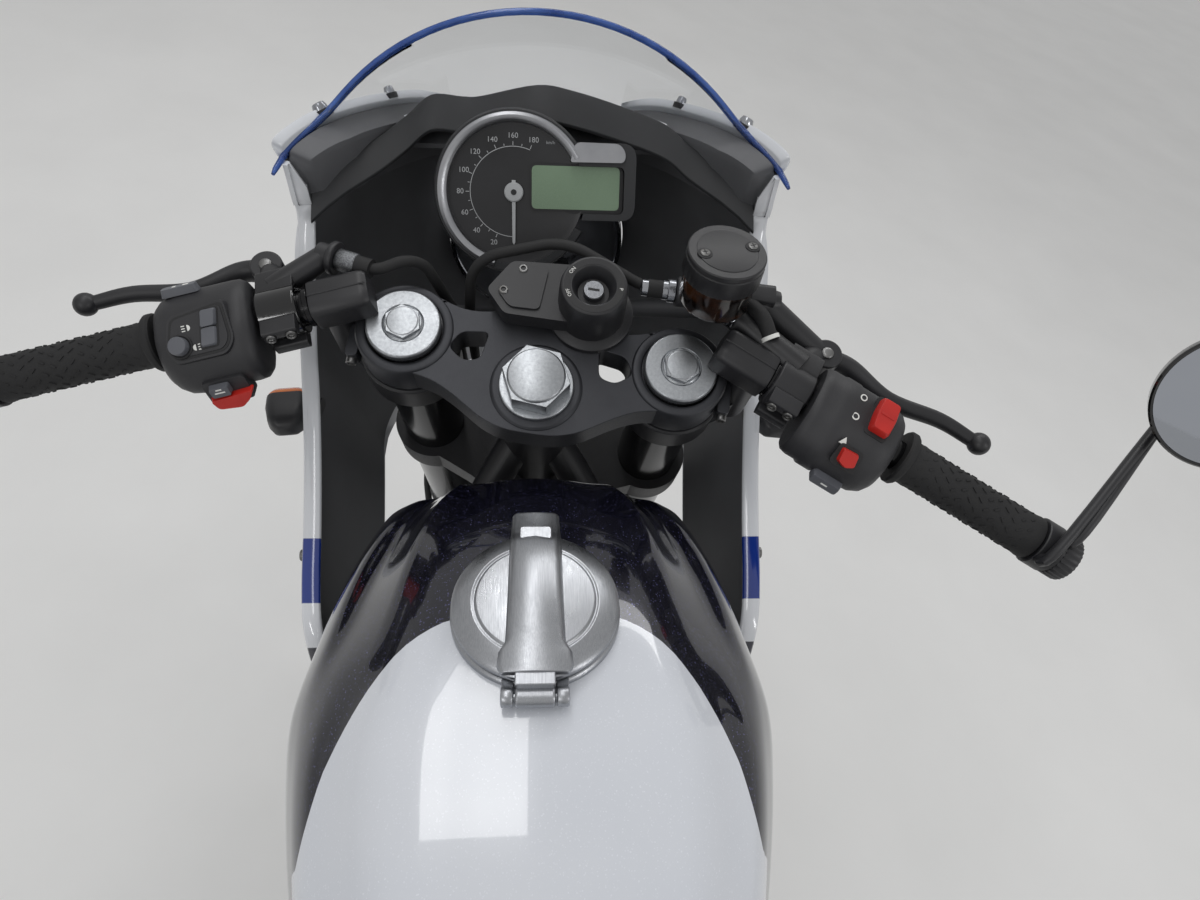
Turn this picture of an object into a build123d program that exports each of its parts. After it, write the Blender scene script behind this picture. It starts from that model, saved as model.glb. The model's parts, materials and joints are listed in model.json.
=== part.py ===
"""A cafe racer motorcycle with a half fairing, parked on its side stand.

The bike frame has its origin on the ground under the rear axle: +X forward, +Y to the rider's left, +Z up.
The steering frame has its origin on the steering axis, in the upper face of the top yoke: +Z runs up the
steering axis and +X forwards. Pieces are drawn upright and straight ahead, and parked at the end.
Lengths are millimetres and angles degrees.
"""

from build123d import *

import os
from math import asin, atan2, cos, degrees, hypot, pi, radians, sin, sqrt

# Chassis geometry
wheelbase = 1376.0
rake = 24.5
trail = 101.5
fork_length = 740.0
fork_half = 100.0
steering_turn = 9.0
lean = 10.5

# Wheels and tyres
front_radius = 293.0
front_width = 110.0
front_crown = 50.0
front_rim_width = 80.0
rear_radius = 306.0
rear_width = 150.0
rear_crown = 58.0
rear_rim_width = 108.0
tyre_wall = 9.0
rim_seat = 214.0
rim_lip = 10.0
rim_wall = 5.0
rim_depth = 22.0
spoke_count = 10
axle_radius = 10.0
axle_bore = 6.0
nose_radius = 25.0
collar_radius = 15.0

# Clearances
running_gap = 0.3
fit_gap = 0.1
seat_gap = 0.3
moving_gap = 5.5

# Fork and yokes, along the steering axis from the top yoke's upper face
tube_radius = 27.0
slider_radius = 21.5
tube_bottom = -425.0
casting_top = -678.0
casting_radius = 29.0
casting_half = 27.0
yoke_thick = 28.0
clamp_wall = 8.5
head_top = -34.0
head_bottom = -184.0
head_radius = 27.0
stem_radius = 13.0
stem_bore = 8.0
bearing_gap = 0.4
lower_yoke_top = -190.0
lower_yoke_thick = 32.0

# Handlebars, in the steering frame, for the left side
bar_start = (46.0, 119.0, 20.0)
bar_end = (-60.0, 392.0, -18.0)
bar_radius = 11.0
bar_from = 16.0
bar_to = 296.0
sleeve_radius = 14.5
sleeve_to = 47.0
perch_radius = 18.0
left_perch = (54.0, 82.0)
right_perch = (49.0, 76.0)
left_switch = (84.0, 150.0)
right_switch = (78.0, 146.0)
grip_radius = 16.5
grip_from = 154.0
grip_to = 269.0
weight_length = 31.0
lever_pivot = (58.0, 205.0, -4.0)
lever_tip = (12.0, 325.0, -6.0)
adjuster_at = (66.0, 158.0, 20.0)
master_cylinder = ((82.0, -88.0, 20.0), (86.0, -165.0, 18.0))
master_radius = 12.0
hose_radius = 4.0
reservoir_at = (85.0, -113.0)
reservoir_radius = 25.0
mirror_at = (35.0, 455.0, 75.0)
mirror_radius = 49.0

# Brakes and drive
front_disc_radius = 150.0
rear_disc_radius = 115.0
disc_thick = 5.0
front_disc_y = 64.0
rear_disc_y = -90.0
chain_y = 93.0
chain_pitch = 15.875
chain_height = 15.0
chain_width = 17.0
roller_radius = 5.1
rear_teeth = 43
drive_teeth = 15
drive_at = (604.0, 402.0)

# Rear end, in side view
pivot_at = (530.0, 402.0)
pivot_plate_half = 80.0
pivot_plate_thick = 20.0
arm_inner = 105.0
arm_thick = 24.0
arm_tube_at = (466.0, 394.0)
arm_tube_radius = 22.0
lift_hole_at = (70.0, 302.0)
lift_hole_radius = 4.0
lift_hole_depth = 20.0

# Main frame, as runs of tube for the left side
spar_radius = 14.0
rail_radius = 11.0
spar = ((1083.0, 12.0, 865.0), (1032.0, 56.0, 809.0), (640.0, 74.0, 690.0), (545.0, 70.0, 462.0))
front_rail = ((1106.0, 12.0, 812.0), (950.0, 80.0, 690.0), (892.0, 80.0, 505.0))
seat_rail = ((640.0, 74.0, 690.0), (330.0, 85.0, 770.0), (-20.0, 80.0, 815.0))

# Engine, in side view
case_half = 84.0
cylinder_at = (800.0, 0.0, 510.0)
cylinder_lean = 12.0
barrel_height = 85.0
head_height = 65.0

# Fuel tank and lid
filler_at = (870.0, 938.0)
filler_radius = 20.0
filler_depth = 34.0
lid_radius = 49.0
lid_thick = 9.0
lid_base_thick = 8.0
lid_sink = 6.0

# Fairing
skin = 3.5
liner_skin = 3.0
lamp_height = 868.0
lamp_radius = 88.0
stay_radius = 13.0

# Instruments
pod_at = (1195.0, 0.0, 1018.0)
pod_tilt = 30.0
pod_depth = 30.0
dial_radius = 57.0
dial_shift = -18.0
shell_at, shell_size = (28.5, 9.0), (97.0, 58.0)
face_at, face_size = (29.0, 4.5), (78.0, 39.0)

# Side stand
stand_pivot = (610.0, 118.0, 262.0)
stand_lead = 45.0
stand_tilt = 26.0
stand_eye = 16.0
stand_pin = 6.0
foot_radius = 26.0
foot_thick = 9.0

# Derived steering geometry
fork_offset = front_radius * sin(radians(rake)) - trail * cos(radians(rake))
steer_x = Vector(cos(radians(rake)), 0, sin(radians(rake)))
steer_z = Vector(-sin(radians(rake)), 0, cos(radians(rake)))
yoke_at = Vector(wheelbase, 0, front_radius) - steer_x * fork_offset + steer_z * fork_length
steering = Plane(origin=yoke_at, x_dir=steer_x, z_dir=steer_z)
turned = steering.location * Location((0, 0, 0), (0, 0, -steering_turn))
upright = Location((0, 0, 0))
front_wheel_at = turned * Location((fork_offset, 0, -fork_length))
rear_wheel_at = Location((0, 0, rear_radius))
axle_plane = Plane(origin=(0, 0, 0), x_dir=(0, 1, 0), z_dir=(1, 0, 0))
sides = (1, -1)

pieces = {}


def keep(builder, name, where=upright):
    """Names a finished piece and puts it where the bike carries it, still upright."""
    placed = where * builder.part
    placed.label = name
    pieces[name] = placed


def side_plane(y):
    """The side view at this distance to the left, where extrude goes to the right."""
    return Plane.XZ.offset(-y)


def plate(outline, y, thick, corner=0.0, mode=Mode.ADD):
    """A flat plate drawn in side view, with its left face at y."""
    with BuildSketch(side_plane(y)) as face:
        with BuildLine():
            Polyline(*outline, close=True)
        make_face()
        if corner:
            fillet(face.vertices(), corner)
    extrude(face.sketch, amount=thick, mode=mode)


def tube(points, radius, bends):
    """A round tube along straight runs joined by arcs."""
    with BuildLine() as route:
        FilletPolyline(*points, radius=bends)
    with BuildSketch(Plane(origin=route.line @ 0, z_dir=route.line % 0)) as section:
        Circle(radius)
    sweep(section.sketch, path=route.line)


def rod(start, end, radius, end_radius=None, mode=Mode.ADD):
    """A straight round bar, or a cone, between two points."""
    start, end = Vector(*start), Vector(*end)
    with BuildSketch(Plane(origin=start, z_dir=end - start)) as near:
        Circle(radius)
    if end_radius is None:
        extrude(near.sketch, amount=(end - start).length, mode=mode)
    else:
        with BuildSketch(Plane(origin=end, z_dir=end - start)) as far:
            Circle(end_radius)
        loft([near.sketch, far.sketch], mode=mode)


def across(x, z, y_left, y_right, radius, mode=Mode.ADD):
    """A round bar that runs across the bike between two distances to the left."""
    rod((x, y_left, z), (x, y_right, z), radius, mode=mode)


def hose(points, bends, *fittings):
    """A hose along straight runs joined by arcs, with a round fitting at each end."""
    tube(points, hose_radius, bends)
    for start, towards, length, radius in fittings:
        rod(start, along(start, towards, length), radius)


def mirrored(points, side):
    """The same points on the left (1) or the right (-1)."""
    return [(x, y * side, z) for x, y, z in points]


def along(start, end, distance):
    """The point this far from one point towards another."""
    start, end = Vector(*start), Vector(*end)
    return start + (end - start).normalized() * distance


# Tyres
def tyre(radius, width, crown, rim_width):
    """A hollow tyre with rounded tread, seated between the rim's lips."""
    half, bead = width / 2, rim_width / 2 - rim_wall - fit_gap
    foot, lip = rim_seat + fit_gap, rim_seat + rim_lip + 3
    with BuildSketch(axle_plane) as section:
        with BuildLine():
            ThreePointArc((-half, radius - crown), (0, radius), (half, radius - crown))
            Polyline((half, radius - crown), (bead, lip), (bead, foot))
            Line((bead, foot), (-bead, foot))
            Polyline((-bead, foot), (-bead, lip), (-half, radius - crown))
        make_face()
        with BuildLine():
            inner = half - tyre_wall
            ThreePointArc((-inner, radius - crown), (0, radius - tyre_wall), (inner, radius - crown))
            Polyline((inner, radius - crown), (bead - tyre_wall, foot + 2), (bead - tyre_wall, foot - 2))
            Line((bead - tyre_wall, foot - 2), (tyre_wall - bead, foot - 2))
            Polyline((tyre_wall - bead, foot - 2), (tyre_wall - bead, foot + 2), (-inner, radius - crown))
        make_face(mode=Mode.SUBTRACT)
    revolve(section.sketch, axis=Axis.Y)


with BuildPart() as front_tyre:
    tyre(front_radius, front_width, front_crown, front_rim_width)

with BuildPart() as rear_tyre:
    tyre(rear_radius, rear_width, rear_crown, rear_rim_width)


# Rims with their spokes and hubs
def rim_ring(rim_width):
    """The barrel of a cast rim, with its lips and well."""
    half = rim_width / 2
    well = half - 24.0
    floor = rim_seat - rim_depth
    with BuildSketch(axle_plane) as barrel:
        with BuildLine():
            Polyline(
                (-half, rim_seat + rim_lip),
                (-half + rim_wall, rim_seat + rim_lip),
                (-half + rim_wall, rim_seat),
                (-well, floor + 6),
                (well, floor + 6),
                (half - rim_wall, rim_seat),
                (half - rim_wall, rim_seat + rim_lip),
                (half, rim_seat + rim_lip),
                (half, rim_seat - 6),
                (well, floor),
                (-well, floor),
                (-half, rim_seat - 6),
                close=True,
            )
        make_face()
    revolve(barrel.sketch, axis=Axis.Y)


def spokes(hub_radius, hub_half, rim_half):
    """Tapered spokes from the hub to the rim, in pairs that lean towards each other."""
    with BuildPart(mode=Mode.PRIVATE) as one:
        with BuildSketch(Plane.XY.offset(hub_radius - 4)):
            RectangleRounded(26, 2 * hub_half, 8)
        with BuildSketch(Plane.XY.offset(rim_seat - rim_depth + 2)):
            RectangleRounded(17, 2 * rim_half, 6)
        loft()
    for index in range(spoke_count):
        swing = 360.0 / spoke_count * index + (5.0 if index % 2 else -5.0)
        add(Location((0, 0, 0), (0, swing, 0)) * one.part)


def hub(*steps):
    """A stepped hub on the axle: each step is its radius and its left and right ends."""
    for radius, left, right in steps:
        across(0, 0, left, right, radius)
    across(0, 0, steps[-1][1] + 1, steps[-1][2] - 1, axle_radius + running_gap, mode=Mode.SUBTRACT)


front_seat = front_disc_y - disc_thick / 2
front_nose = fork_half - casting_half - 3
with BuildPart() as front_rim:
    rim_ring(front_rim_width)
    spokes(32, 22, 14)
    hub((34, 46, -46), (41, front_seat, 40), (nose_radius, front_nose, -front_nose))

rear_seat = rear_disc_y + disc_thick / 2
rear_nose = arm_inner - 4
sprocket_seat = 78.0
with BuildPart() as rear_rim:
    rim_ring(rear_rim_width)
    spokes(40, 30, 18)
    hub((44, 62, rear_seat), (60, sprocket_seat, 58), (nose_radius, rear_nose, -rear_nose))


# Brake discs, seated on the hubs
def brake_disc(radius, bolt_circle, y):
    """A drilled disc with its carrier arms, standing across the axle at this place."""
    bore, rub = nose_radius + 2, radius - 34
    with BuildSketch(side_plane(y + disc_thick / 2)) as disc:
        Circle(radius)
        Circle(rub, mode=Mode.SUBTRACT)
        with PolarLocations((rub + bore) / 2, 5):
            Rectangle(rub - bore + 4, 24)
        Circle(bolt_circle)
        Circle(bore, mode=Mode.SUBTRACT)
        for ring, shift in ((radius - 9, 0), (radius - 25, 7.5)):
            with PolarLocations(ring, 24, start_angle=shift):
                Circle(4, mode=Mode.SUBTRACT)
    extrude(disc.sketch, amount=disc_thick)


with BuildPart() as front_disc:
    brake_disc(front_disc_radius, 41, front_disc_y)

with BuildPart() as rear_disc:
    brake_disc(rear_disc_radius, 44, rear_disc_y)

# Rear sprocket, whose teeth stop short of the rollers
rear_pitch = chain_pitch / 2 / sin(pi / rear_teeth)
drive_pitch = chain_pitch / 2 / sin(pi / drive_teeth)
tooth_gap = 1.2
sprocket_thick = 6.0
with BuildPart() as rear_sprocket:
    with BuildSketch(side_plane(chain_y + sprocket_thick / 2)):
        Circle(rear_pitch - roller_radius - tooth_gap)
        with PolarLocations(rear_pitch - 1, rear_teeth):
            Circle(roller_radius + 1.4, mode=Mode.SUBTRACT)
        Circle(nose_radius + 2, mode=Mode.SUBTRACT)
        with PolarLocations(75, 6):
            Circle(14, mode=Mode.SUBTRACT)
    extrude(amount=sprocket_thick)
    with BuildSketch(side_plane(chain_y - sprocket_thick / 2)):
        Circle(57)
        Circle(nose_radius + 2, mode=Mode.SUBTRACT)
    extrude(amount=chain_y - sprocket_thick / 2 - sprocket_seat)


# Axles, hollow for a stand's pin, with collars that space the wheel
def axle(half, collar_from, collar_to, head_size):
    """A hollow axle with a head outside each leg and a collar inside it."""
    across(0, 0, half, -half, axle_radius)
    for side in sides:
        across(0, 0, side * half, side * (half + 9), head_size)
        across(0, 0, side * (collar_from + running_gap), side * collar_to, collar_radius)
    across(0, 0, half + 20, -half - 20, axle_bore, mode=Mode.SUBTRACT)


with BuildPart() as front_axle:
    axle(fork_half + casting_half, front_nose, fork_half - casting_half, 16)

with BuildPart() as rear_axle:
    axle(arm_inner + arm_thick, rear_nose, arm_inner, 17)


# Yokes
def yoke(top, thick, waist_front, waist_rear):
    """A yoke plate: two fork clamps joined by arms to the stem."""
    with BuildSketch(Plane.XY.offset(top)) as outline:
        with BuildLine():
            Polyline(
                (57, 34),
                (waist_front, 66),
                (fork_offset + 26, fork_half - 8),
                (fork_offset - 26, fork_half + 8),
                (waist_rear, 62),
                (-34, 24),
                (-34, -24),
                (waist_rear, -62),
                (fork_offset - 26, -fork_half - 8),
                (fork_offset + 26, -fork_half + 8),
                (waist_front, -66),
                (57, -34),
                close=True,
            )
        make_face()
        with Locations((fork_offset, fork_half), (fork_offset, -fork_half)):
            Circle(tube_radius + clamp_wall)
            Circle(tube_radius + fit_gap, mode=Mode.SUBTRACT)
    extrude(outline.sketch, amount=-thick)


with BuildPart() as top_yoke:
    yoke(0, yoke_thick, 52, -13)
    with BuildSketch(Plane.XY) as holes:
        Circle(stem_radius + fit_gap)
        for side in sides:
            with BuildLine():
                Polyline((36, side * 40), (34, side * 62), (20, side * 68), (12, side * 52), close=True)
            make_face()
    extrude(holes.sketch, amount=-yoke_thick, mode=Mode.SUBTRACT)

with BuildPart() as lower_yoke:
    yoke(lower_yoke_top, lower_yoke_thick, 48, -16)
    rod((0, 0, lower_yoke_top - lower_yoke_thick), (0, 0, 6), stem_radius)
    rod((0, 0, lower_yoke_top), (0, 0, head_bottom - bearing_gap), head_radius - 2)
    rod((0, 0, head_top + bearing_gap), (0, 0, -yoke_thick), head_radius - 2)
    rod((0, 0, lower_yoke_top - lower_yoke_thick), (0, 0, lower_yoke_top), stem_bore, mode=Mode.SUBTRACT)

# Fork legs
with BuildPart() as fork_tubes:
    for y in (fork_half, -fork_half):
        with BuildSketch(Plane(origin=(fork_offset, y, 0), x_dir=(1, 0, 0), z_dir=(0, -1, 0))) as leg:
            with BuildLine():
                Polyline(
                    (0, 3),
                    (tube_radius, 3),
                    (tube_radius, lower_yoke_top - 42),
                    (tube_radius + 1.5, lower_yoke_top - 56),
                    (tube_radius + 1.5, tube_bottom + 14),
                    (tube_radius + 4, tube_bottom + 10),
                    (tube_radius + 4, tube_bottom),
                    (0, tube_bottom),
                    close=True,
                )
            make_face()
        revolve(leg.sketch, axis=Axis((fork_offset, y, 0), (0, 0, 1)))

caliper_centre = (fork_offset - 98, -fork_length + 92)
caliper_outer = front_disc_y + disc_thick / 2 + 25
guard_radius = front_radius + 12
with BuildPart() as fork_sliders:
    for y in (fork_half, -fork_half):
        rod((fork_offset, y, tube_bottom), (fork_offset, y, casting_top), slider_radius)
        rod((fork_offset, y, casting_top), (fork_offset, y, -fork_length), slider_radius, 26)
        across(fork_offset, -fork_length, y + casting_half, y - casting_half, casting_radius)
    plate(
        [
            (fork_offset, -fork_length + 30),
            (fork_offset - 90, -fork_length + 52),
            (fork_offset - 118, -fork_length + 118),
            (fork_offset - 70, -fork_length + 150),
            (fork_offset, -fork_length + 150),
        ],
        caliper_outer + 12,
        12,
        8,
    )
    for y in (fork_half, -fork_half):
        across(
            fork_offset, -fork_length, y + casting_half + 1, y - casting_half - 1,
            axle_radius + fit_gap, mode=Mode.SUBTRACT,
        )

with BuildPart() as fork_caps:
    for y in (fork_half, -fork_half):
        rod((fork_offset, y, 3), (fork_offset, y, 9), tube_radius - 0.5)
        with BuildSketch(Plane(origin=(fork_offset, y, 9))) as cap_hex:
            RegularPolygon(14, 6)
        extrude(cap_hex.sketch, amount=6)
    with BuildSketch(Plane.XY.offset(6)) as nut_hex:
        RegularPolygon(24, 6)
    extrude(nut_hex.sketch, amount=19)
    with BuildSketch(Plane.XY) as nut_base:
        Circle(27)
        Circle(stem_radius + fit_gap, mode=Mode.SUBTRACT)
    extrude(nut_base.sketch, amount=6)

with BuildPart() as ignition_lock:
    rod((63, -30, 0), (63, -30, 6), 31)
    rod((63, -30, 6), (63, -30, 45), 23.5)
    with BuildSketch(Plane.XY.offset(6)) as cover:
        with BuildLine():
            Polyline((46, -30), (44, 30), (62, 44), (84, 30), (88, -20), close=True)
        make_face()
        fillet(cover.vertices(), 4)
    extrude(cover.sketch, amount=16)
    rod((63, -30, 30), (63, -30, 46), 15, mode=Mode.SUBTRACT)
    rod((63, -30, 30), (63, -30, 43), 14)
    with BuildSketch(Plane.XY.offset(43)) as key_slot:
        with Locations((63, -30)):
            Rectangle(12, 3)
    extrude(key_slot.sketch, amount=-10, mode=Mode.SUBTRACT)

# Front mudguard
guard_half = 64.0
guard_wall = 4.0
bracket_drop = -fork_length + front_radius - 22
with BuildPart() as front_mudguard:
    with BuildSketch(axle_plane) as section:
        with BuildLine():
            low = guard_radius - 47
            ThreePointArc((-guard_half, low), (0, guard_radius), (guard_half, low))
            Line((guard_half, low), (guard_half + guard_wall, low))
            ThreePointArc(
                (guard_half + guard_wall, low), (0, guard_radius + guard_wall), (-guard_half - guard_wall, low)
            )
            Line((-guard_half - guard_wall, low), (-guard_half, low))
        make_face()
    swept = Location((0, 0, 0), (0, -64, 0)) * revolve(
        section.sketch, axis=Axis.Y, revolution_arc=98, mode=Mode.PRIVATE
    )
    add(Location((fork_offset, 0, -fork_length)) * swept)
    for side in sides:
        across(fork_offset, bracket_drop, side * (guard_half - 6), side * fork_half, 9)
        rod((fork_offset, side * fork_half, 0), (fork_offset, side * fork_half, -fork_length),
            slider_radius + fit_gap, mode=Mode.SUBTRACT)

# Front caliper, on the left leg, with a slot for the disc
with BuildPart() as front_caliper:
    with BuildSketch(side_plane(caliper_outer)) as caliper_side:
        with Locations(Location((*caliper_centre, 0), 47)):
            RectangleRounded(112, 62, 14)
    extrude(caliper_side.sketch, amount=caliper_outer - front_disc_y + 24)
    with BuildSketch(side_plane(front_disc_y + disc_thick / 2 + moving_gap)) as slot:
        with Locations((fork_offset, -fork_length)):
            Circle(front_disc_radius + moving_gap)
    extrude(slot.sketch, amount=disc_thick + 2 * moving_gap, mode=Mode.SUBTRACT)


# Clip-on handlebars: sleeve, tube and the ring round the fork leg
def on_bar(distance, side):
    """A point on the bar's axis, this far from its inner end."""
    return Vector(*mirrored([along(bar_start, bar_end, distance)], side)[0])


def bar_plane(distance, side):
    """A plane across the bar at this distance, with local X forwards."""
    axis = on_bar(1, side) - on_bar(0, side)
    return Plane(origin=on_bar(distance, side), x_dir=axis.cross(Vector(0, 0, side)) * -1, z_dir=axis)


def on_bar_ring(start, end, radius, side, bore=bar_radius + fit_gap):
    """A round sleeve on the bar between two distances."""
    with BuildSketch(bar_plane(start, side)) as ring:
        Circle(radius)
        Circle(bore, mode=Mode.SUBTRACT)
    extrude(ring.sketch, amount=end - start)


ring_top, ring_bottom = -yoke_thick - 4, -yoke_thick - 32
riser_at = (36.0, 149.0)
with BuildPart() as handlebars:
    for side in sides:
        rod(on_bar(bar_from, side), on_bar(bar_to, side), bar_radius)
        rod(on_bar(bar_from, side), on_bar(sleeve_to, side), sleeve_radius)
        rod((riser_at[0], side * riser_at[1], ring_bottom), (riser_at[0], side * riser_at[1], 16), 11)
        with BuildSketch(Plane.XY.offset(ring_bottom)) as clamp:
            with Locations((fork_offset, side * fork_half)):
                Circle(tube_radius + 10)
            with BuildLine():
                Polyline(
                    (fork_offset - 20, side * fork_half),
                    (riser_at[0] - 10, side * riser_at[1]),
                    (riser_at[0] + 10, side * riser_at[1]),
                    (fork_offset + 20, side * fork_half),
                    close=True,
                )
            make_face()
            with Locations((fork_offset, side * fork_half)):
                Circle(tube_radius + fit_gap, mode=Mode.SUBTRACT)
        extrude(clamp.sketch, amount=ring_top - ring_bottom)

with BuildPart() as grips:
    for side in sides:
        on_bar_ring(grip_from, grip_to, grip_radius, side)
        on_bar_ring(grip_from, grip_from + 6, grip_radius + 4, side)


# The housing's section: each corner's distance to the rear of the bar and above it
switch_section = ((-25, 18), (-10, 27), (18, 26), (38, 14), (45, -4), (34, -24), (-12, -26), (-26, -13))
end_draft, inner_draft = 12.0, 5.0


def switch(side, start, end):
    """The moulded shell of a switch housing, clamped round the bar."""
    stages = ((start, 0.84), (start + inner_draft, 1.0), (end - end_draft, 1.0), (end, 0.74))
    rings = []
    for distance, share in stages:
        with BuildSketch(bar_plane(distance, side)) as ring:
            with BuildLine():
                Polyline(*[(x * share, y * share * side) for x, y in switch_section], close=True)
            make_face()
        rings.append(ring.sketch)
    loft(rings, ruled=True)
    rod(on_bar(start - 1, side), on_bar(end + 1, side), bar_radius + fit_gap, mode=Mode.SUBTRACT)


with BuildPart() as switch_left:
    switch(1, *left_switch)

with BuildPart() as switch_right:
    switch(-1, *right_switch)

# Hand levers with their perches
with BuildPart() as hand_levers:
    for side, (perch_from, perch_to) in ((1, left_perch), (-1, right_perch)):
        rod(on_bar(perch_from, side), on_bar(perch_to, side), perch_radius)
        pivot = Vector(*mirrored([lever_pivot], side)[0])
        tip = Vector(*mirrored([lever_tip], side)[0])
        knee = pivot + Vector(-3, side * 26, -2)
        foot = on_bar(perch_to - 12, side) + Vector(15, 0, 0)
        rod(foot, pivot, 9)
        if side > 0:
            rod(foot, adjuster_at, 9)
        else:
            rod(*master_cylinder, master_radius)
            rod(along(*reversed(master_cylinder), 9), on_bar((perch_from + perch_to) / 2, side), 9)
        rod(pivot - Vector(0, 0, 11), pivot + Vector(0, 0, 11), 12)
        rod(pivot, knee, 8)
        rod(knee - Vector(0, side * 4, 0), tip, 6)
        with Locations(tip):
            Sphere(9)
        rod(on_bar(0, side), on_bar(bar_to, side), bar_radius + fit_gap, mode=Mode.SUBTRACT)
        rod(on_bar(0, side), on_bar(sleeve_to + fit_gap, side), sleeve_radius + fit_gap, mode=Mode.SUBTRACT)

# Brake fluid reservoir, on its neck over the master cylinder
with BuildPart() as brake_reservoir:
    x, y = reservoir_at
    neck_low = master_cylinder[0][2] + master_radius - 0.4
    rod((x, y, neck_low), (x, y, 36), 9)
    rod((x, y, 36), (x, y, 62), reservoir_radius)
    rod((x, y, 62), (x, y, 80), reservoir_radius + 2)

# Bar-end weights and mirrors
with BuildPart() as mirrors:
    for side in sides:
        on_bar_ring(grip_to + 1, grip_to + weight_length, 18, side, bar_radius + fit_gap)
        centre = Vector(mirror_at[0], side * mirror_at[1], mirror_at[2])
        facing = Vector(-0.72, -0.3 * side, 0.62).normalized()
        back = centre - facing * 9
        stalk = on_bar(grip_to + 12, side) + Vector(0, 0, 12)
        tube([stalk, stalk + Vector(2, side * 12, 24), back - facing * 26, back], 5.5, 12)
        with BuildSketch(Plane(origin=back, z_dir=facing)) as head:
            Circle(mirror_radius)
        extrude(head.sketch, amount=14)
        rod(on_bar(0, side), on_bar(bar_to, side), bar_radius + fit_gap, mode=Mode.SUBTRACT)

# Clutch cable, from the lever's adjuster over the yoke and down to the lower yoke
cable_side = 77.0
clamp_reach = sqrt((tube_radius + clamp_wall) ** 2 - (fork_half - cable_side - hose_radius) ** 2)
yoke_face = fork_offset + clamp_reach + running_gap
cable_drop = lower_yoke_top - lower_yoke_thick / 2
with BuildPart() as clutch_cable:
    start = Vector(*adjuster_at) + Vector(-1.9, -9.8, 0.8)
    leave = start + Vector(-5, -25, 2)
    hose(
        [
            start,
            leave,
            (80, 98, 18),
            (72, cable_side, -44),
            (72, cable_side, cable_drop),
            (yoke_face, cable_side, cable_drop),
        ],
        [16, 26, 24, 10],
        (start, leave, 22, 7),
    )

# Brake hose, from the master cylinder round the yoke and down the left leg to the caliper
caliper_up = Vector(-sin(radians(47)), 0, cos(radians(47)))
hose_end = Vector(caliper_centre[0], 78, caliper_centre[1]) + caliper_up * (31 + running_gap)
with BuildPart() as brake_hose:
    start = along(*master_cylinder, -running_gap)
    leave = along(*master_cylinder, -22)
    rise = hose_end + caliper_up * 40
    hose(
        [
            start,
            leave,
            (108, -4, 22),
            (88, 62, 10),
            (65, 63, -42),
            (66, 63, -232),
            (68, 104, -322),
            (46, 142, -430),
            (-40, 124, -520),
            rise,
            hose_end,
        ],
        [50, 50, 30, 26, 60, 60, 70, 70, 20],
        (start, leave, 20, 6.5),
        (hose_end, rise, 14, 7),
    )


# Main frame
seat_slope = (seat_rail[1][2] - seat_rail[0][2]) / (seat_rail[0][0] - seat_rail[1][0])
hinge_axis = Vector(0, cos(radians(stand_tilt)), sin(radians(stand_tilt)))
lean_gap = 0.2
stand_at = Vector(*stand_pivot)
pod_plane = Plane(
    origin=pod_at,
    x_dir=(0, -1, 0),
    z_dir=(-cos(radians(pod_tilt)), 0, sin(radians(pod_tilt))),
)
pod_back = Vector(*pod_at) - pod_plane.z_dir * pod_depth
lamp_back = 1300.0
with BuildPart() as frame:
    head_low, head_high = (yoke_at + steer_z * w for w in (head_bottom, head_top))
    for side in sides:
        tube(mirrored(spar, side), spar_radius, [60, 60])
        tube(mirrored(front_rail, side), spar_radius, 60)
        tube(mirrored(seat_rail, side), rail_radius, 120)
        rod((534, side * 70, 458), (300, side * 82, 768), 9)
        across(545, 482, side * 70, side * 131.9, 9)
        across(500, 503, side * 70, side * 131.9, 9)
        across(560, 711, side * 76, side * 96, 8)
        across(420, 747, side * 80, side * 96, 8)
        plate(
            [(505, 300), (490, 400), (500, 478), (560, 488), (562, 300)],
            side * 70 + pivot_plate_thick / 2,
            pivot_plate_thick,
            6,
        )
        with Locations((960, side * 80, 648)):
            Box(54, 16, 16)
    across(634, 662, 74, -74, 12)
    across(640, 690, 74, -74, 12)
    across(515, 318, 70, -70, 10)
    across(535, 470, 70, -70, 10)
    across(-20, 815, 80, -80, rail_radius)
    across(905, 560, 80, -80, 10)
    for y in (21, -13):
        plate([(642, 650), (630, 672), (594, 660), (596, 634)], y, 8, 3)
    rod(head_low, head_high, head_radius)
    rod((1084, 0, lamp_height), (lamp_back, 0, lamp_height), stay_radius)
    tube([(1240, 0, lamp_height), pod_back + Vector(16, 0, -80), pod_back - pod_plane.z_dir * 30, pod_back], 9, 20)
    rod((536, 78, 306), stand_at - hinge_axis * 24, 9)
    rod(stand_at - hinge_axis * 26, stand_at - hinge_axis * (12 + lean_gap), stand_eye)
    rod(stand_at - hinge_axis * 14, stand_at + hinge_axis * 17, stand_pin)
    rod(stand_at + hinge_axis * (12 + lean_gap), stand_at + hinge_axis * 17, 10)
    across(*pivot_at, 90, -90, axle_radius + fit_gap, mode=Mode.SUBTRACT)
    rod(head_low - steer_z, head_high + steer_z, stem_radius + 2, mode=Mode.SUBTRACT)

# Swingarm
shock_low = (450.0, 432.0)
shock_high = (607.0, 648.0)
with BuildPart() as swingarm:
    for y in (arm_inner + arm_thick, -arm_inner):
        plate(
            [
                (558, 376),
                (558, 428),
                (500, 434),
                (40, 338),
                (-40, 334),
                (-46, 306),
                (-40, 278),
                (40, 272),
                (480, 352),
            ],
            y,
            arm_thick,
            5,
        )
    across(0, rear_radius, 200, -200, axle_radius + fit_gap, mode=Mode.SUBTRACT)
    for side in sides:
        outer = side * (arm_inner + arm_thick)
        across(*lift_hole_at, outer, outer - side * lift_hole_depth, lift_hole_radius, mode=Mode.SUBTRACT)

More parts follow.
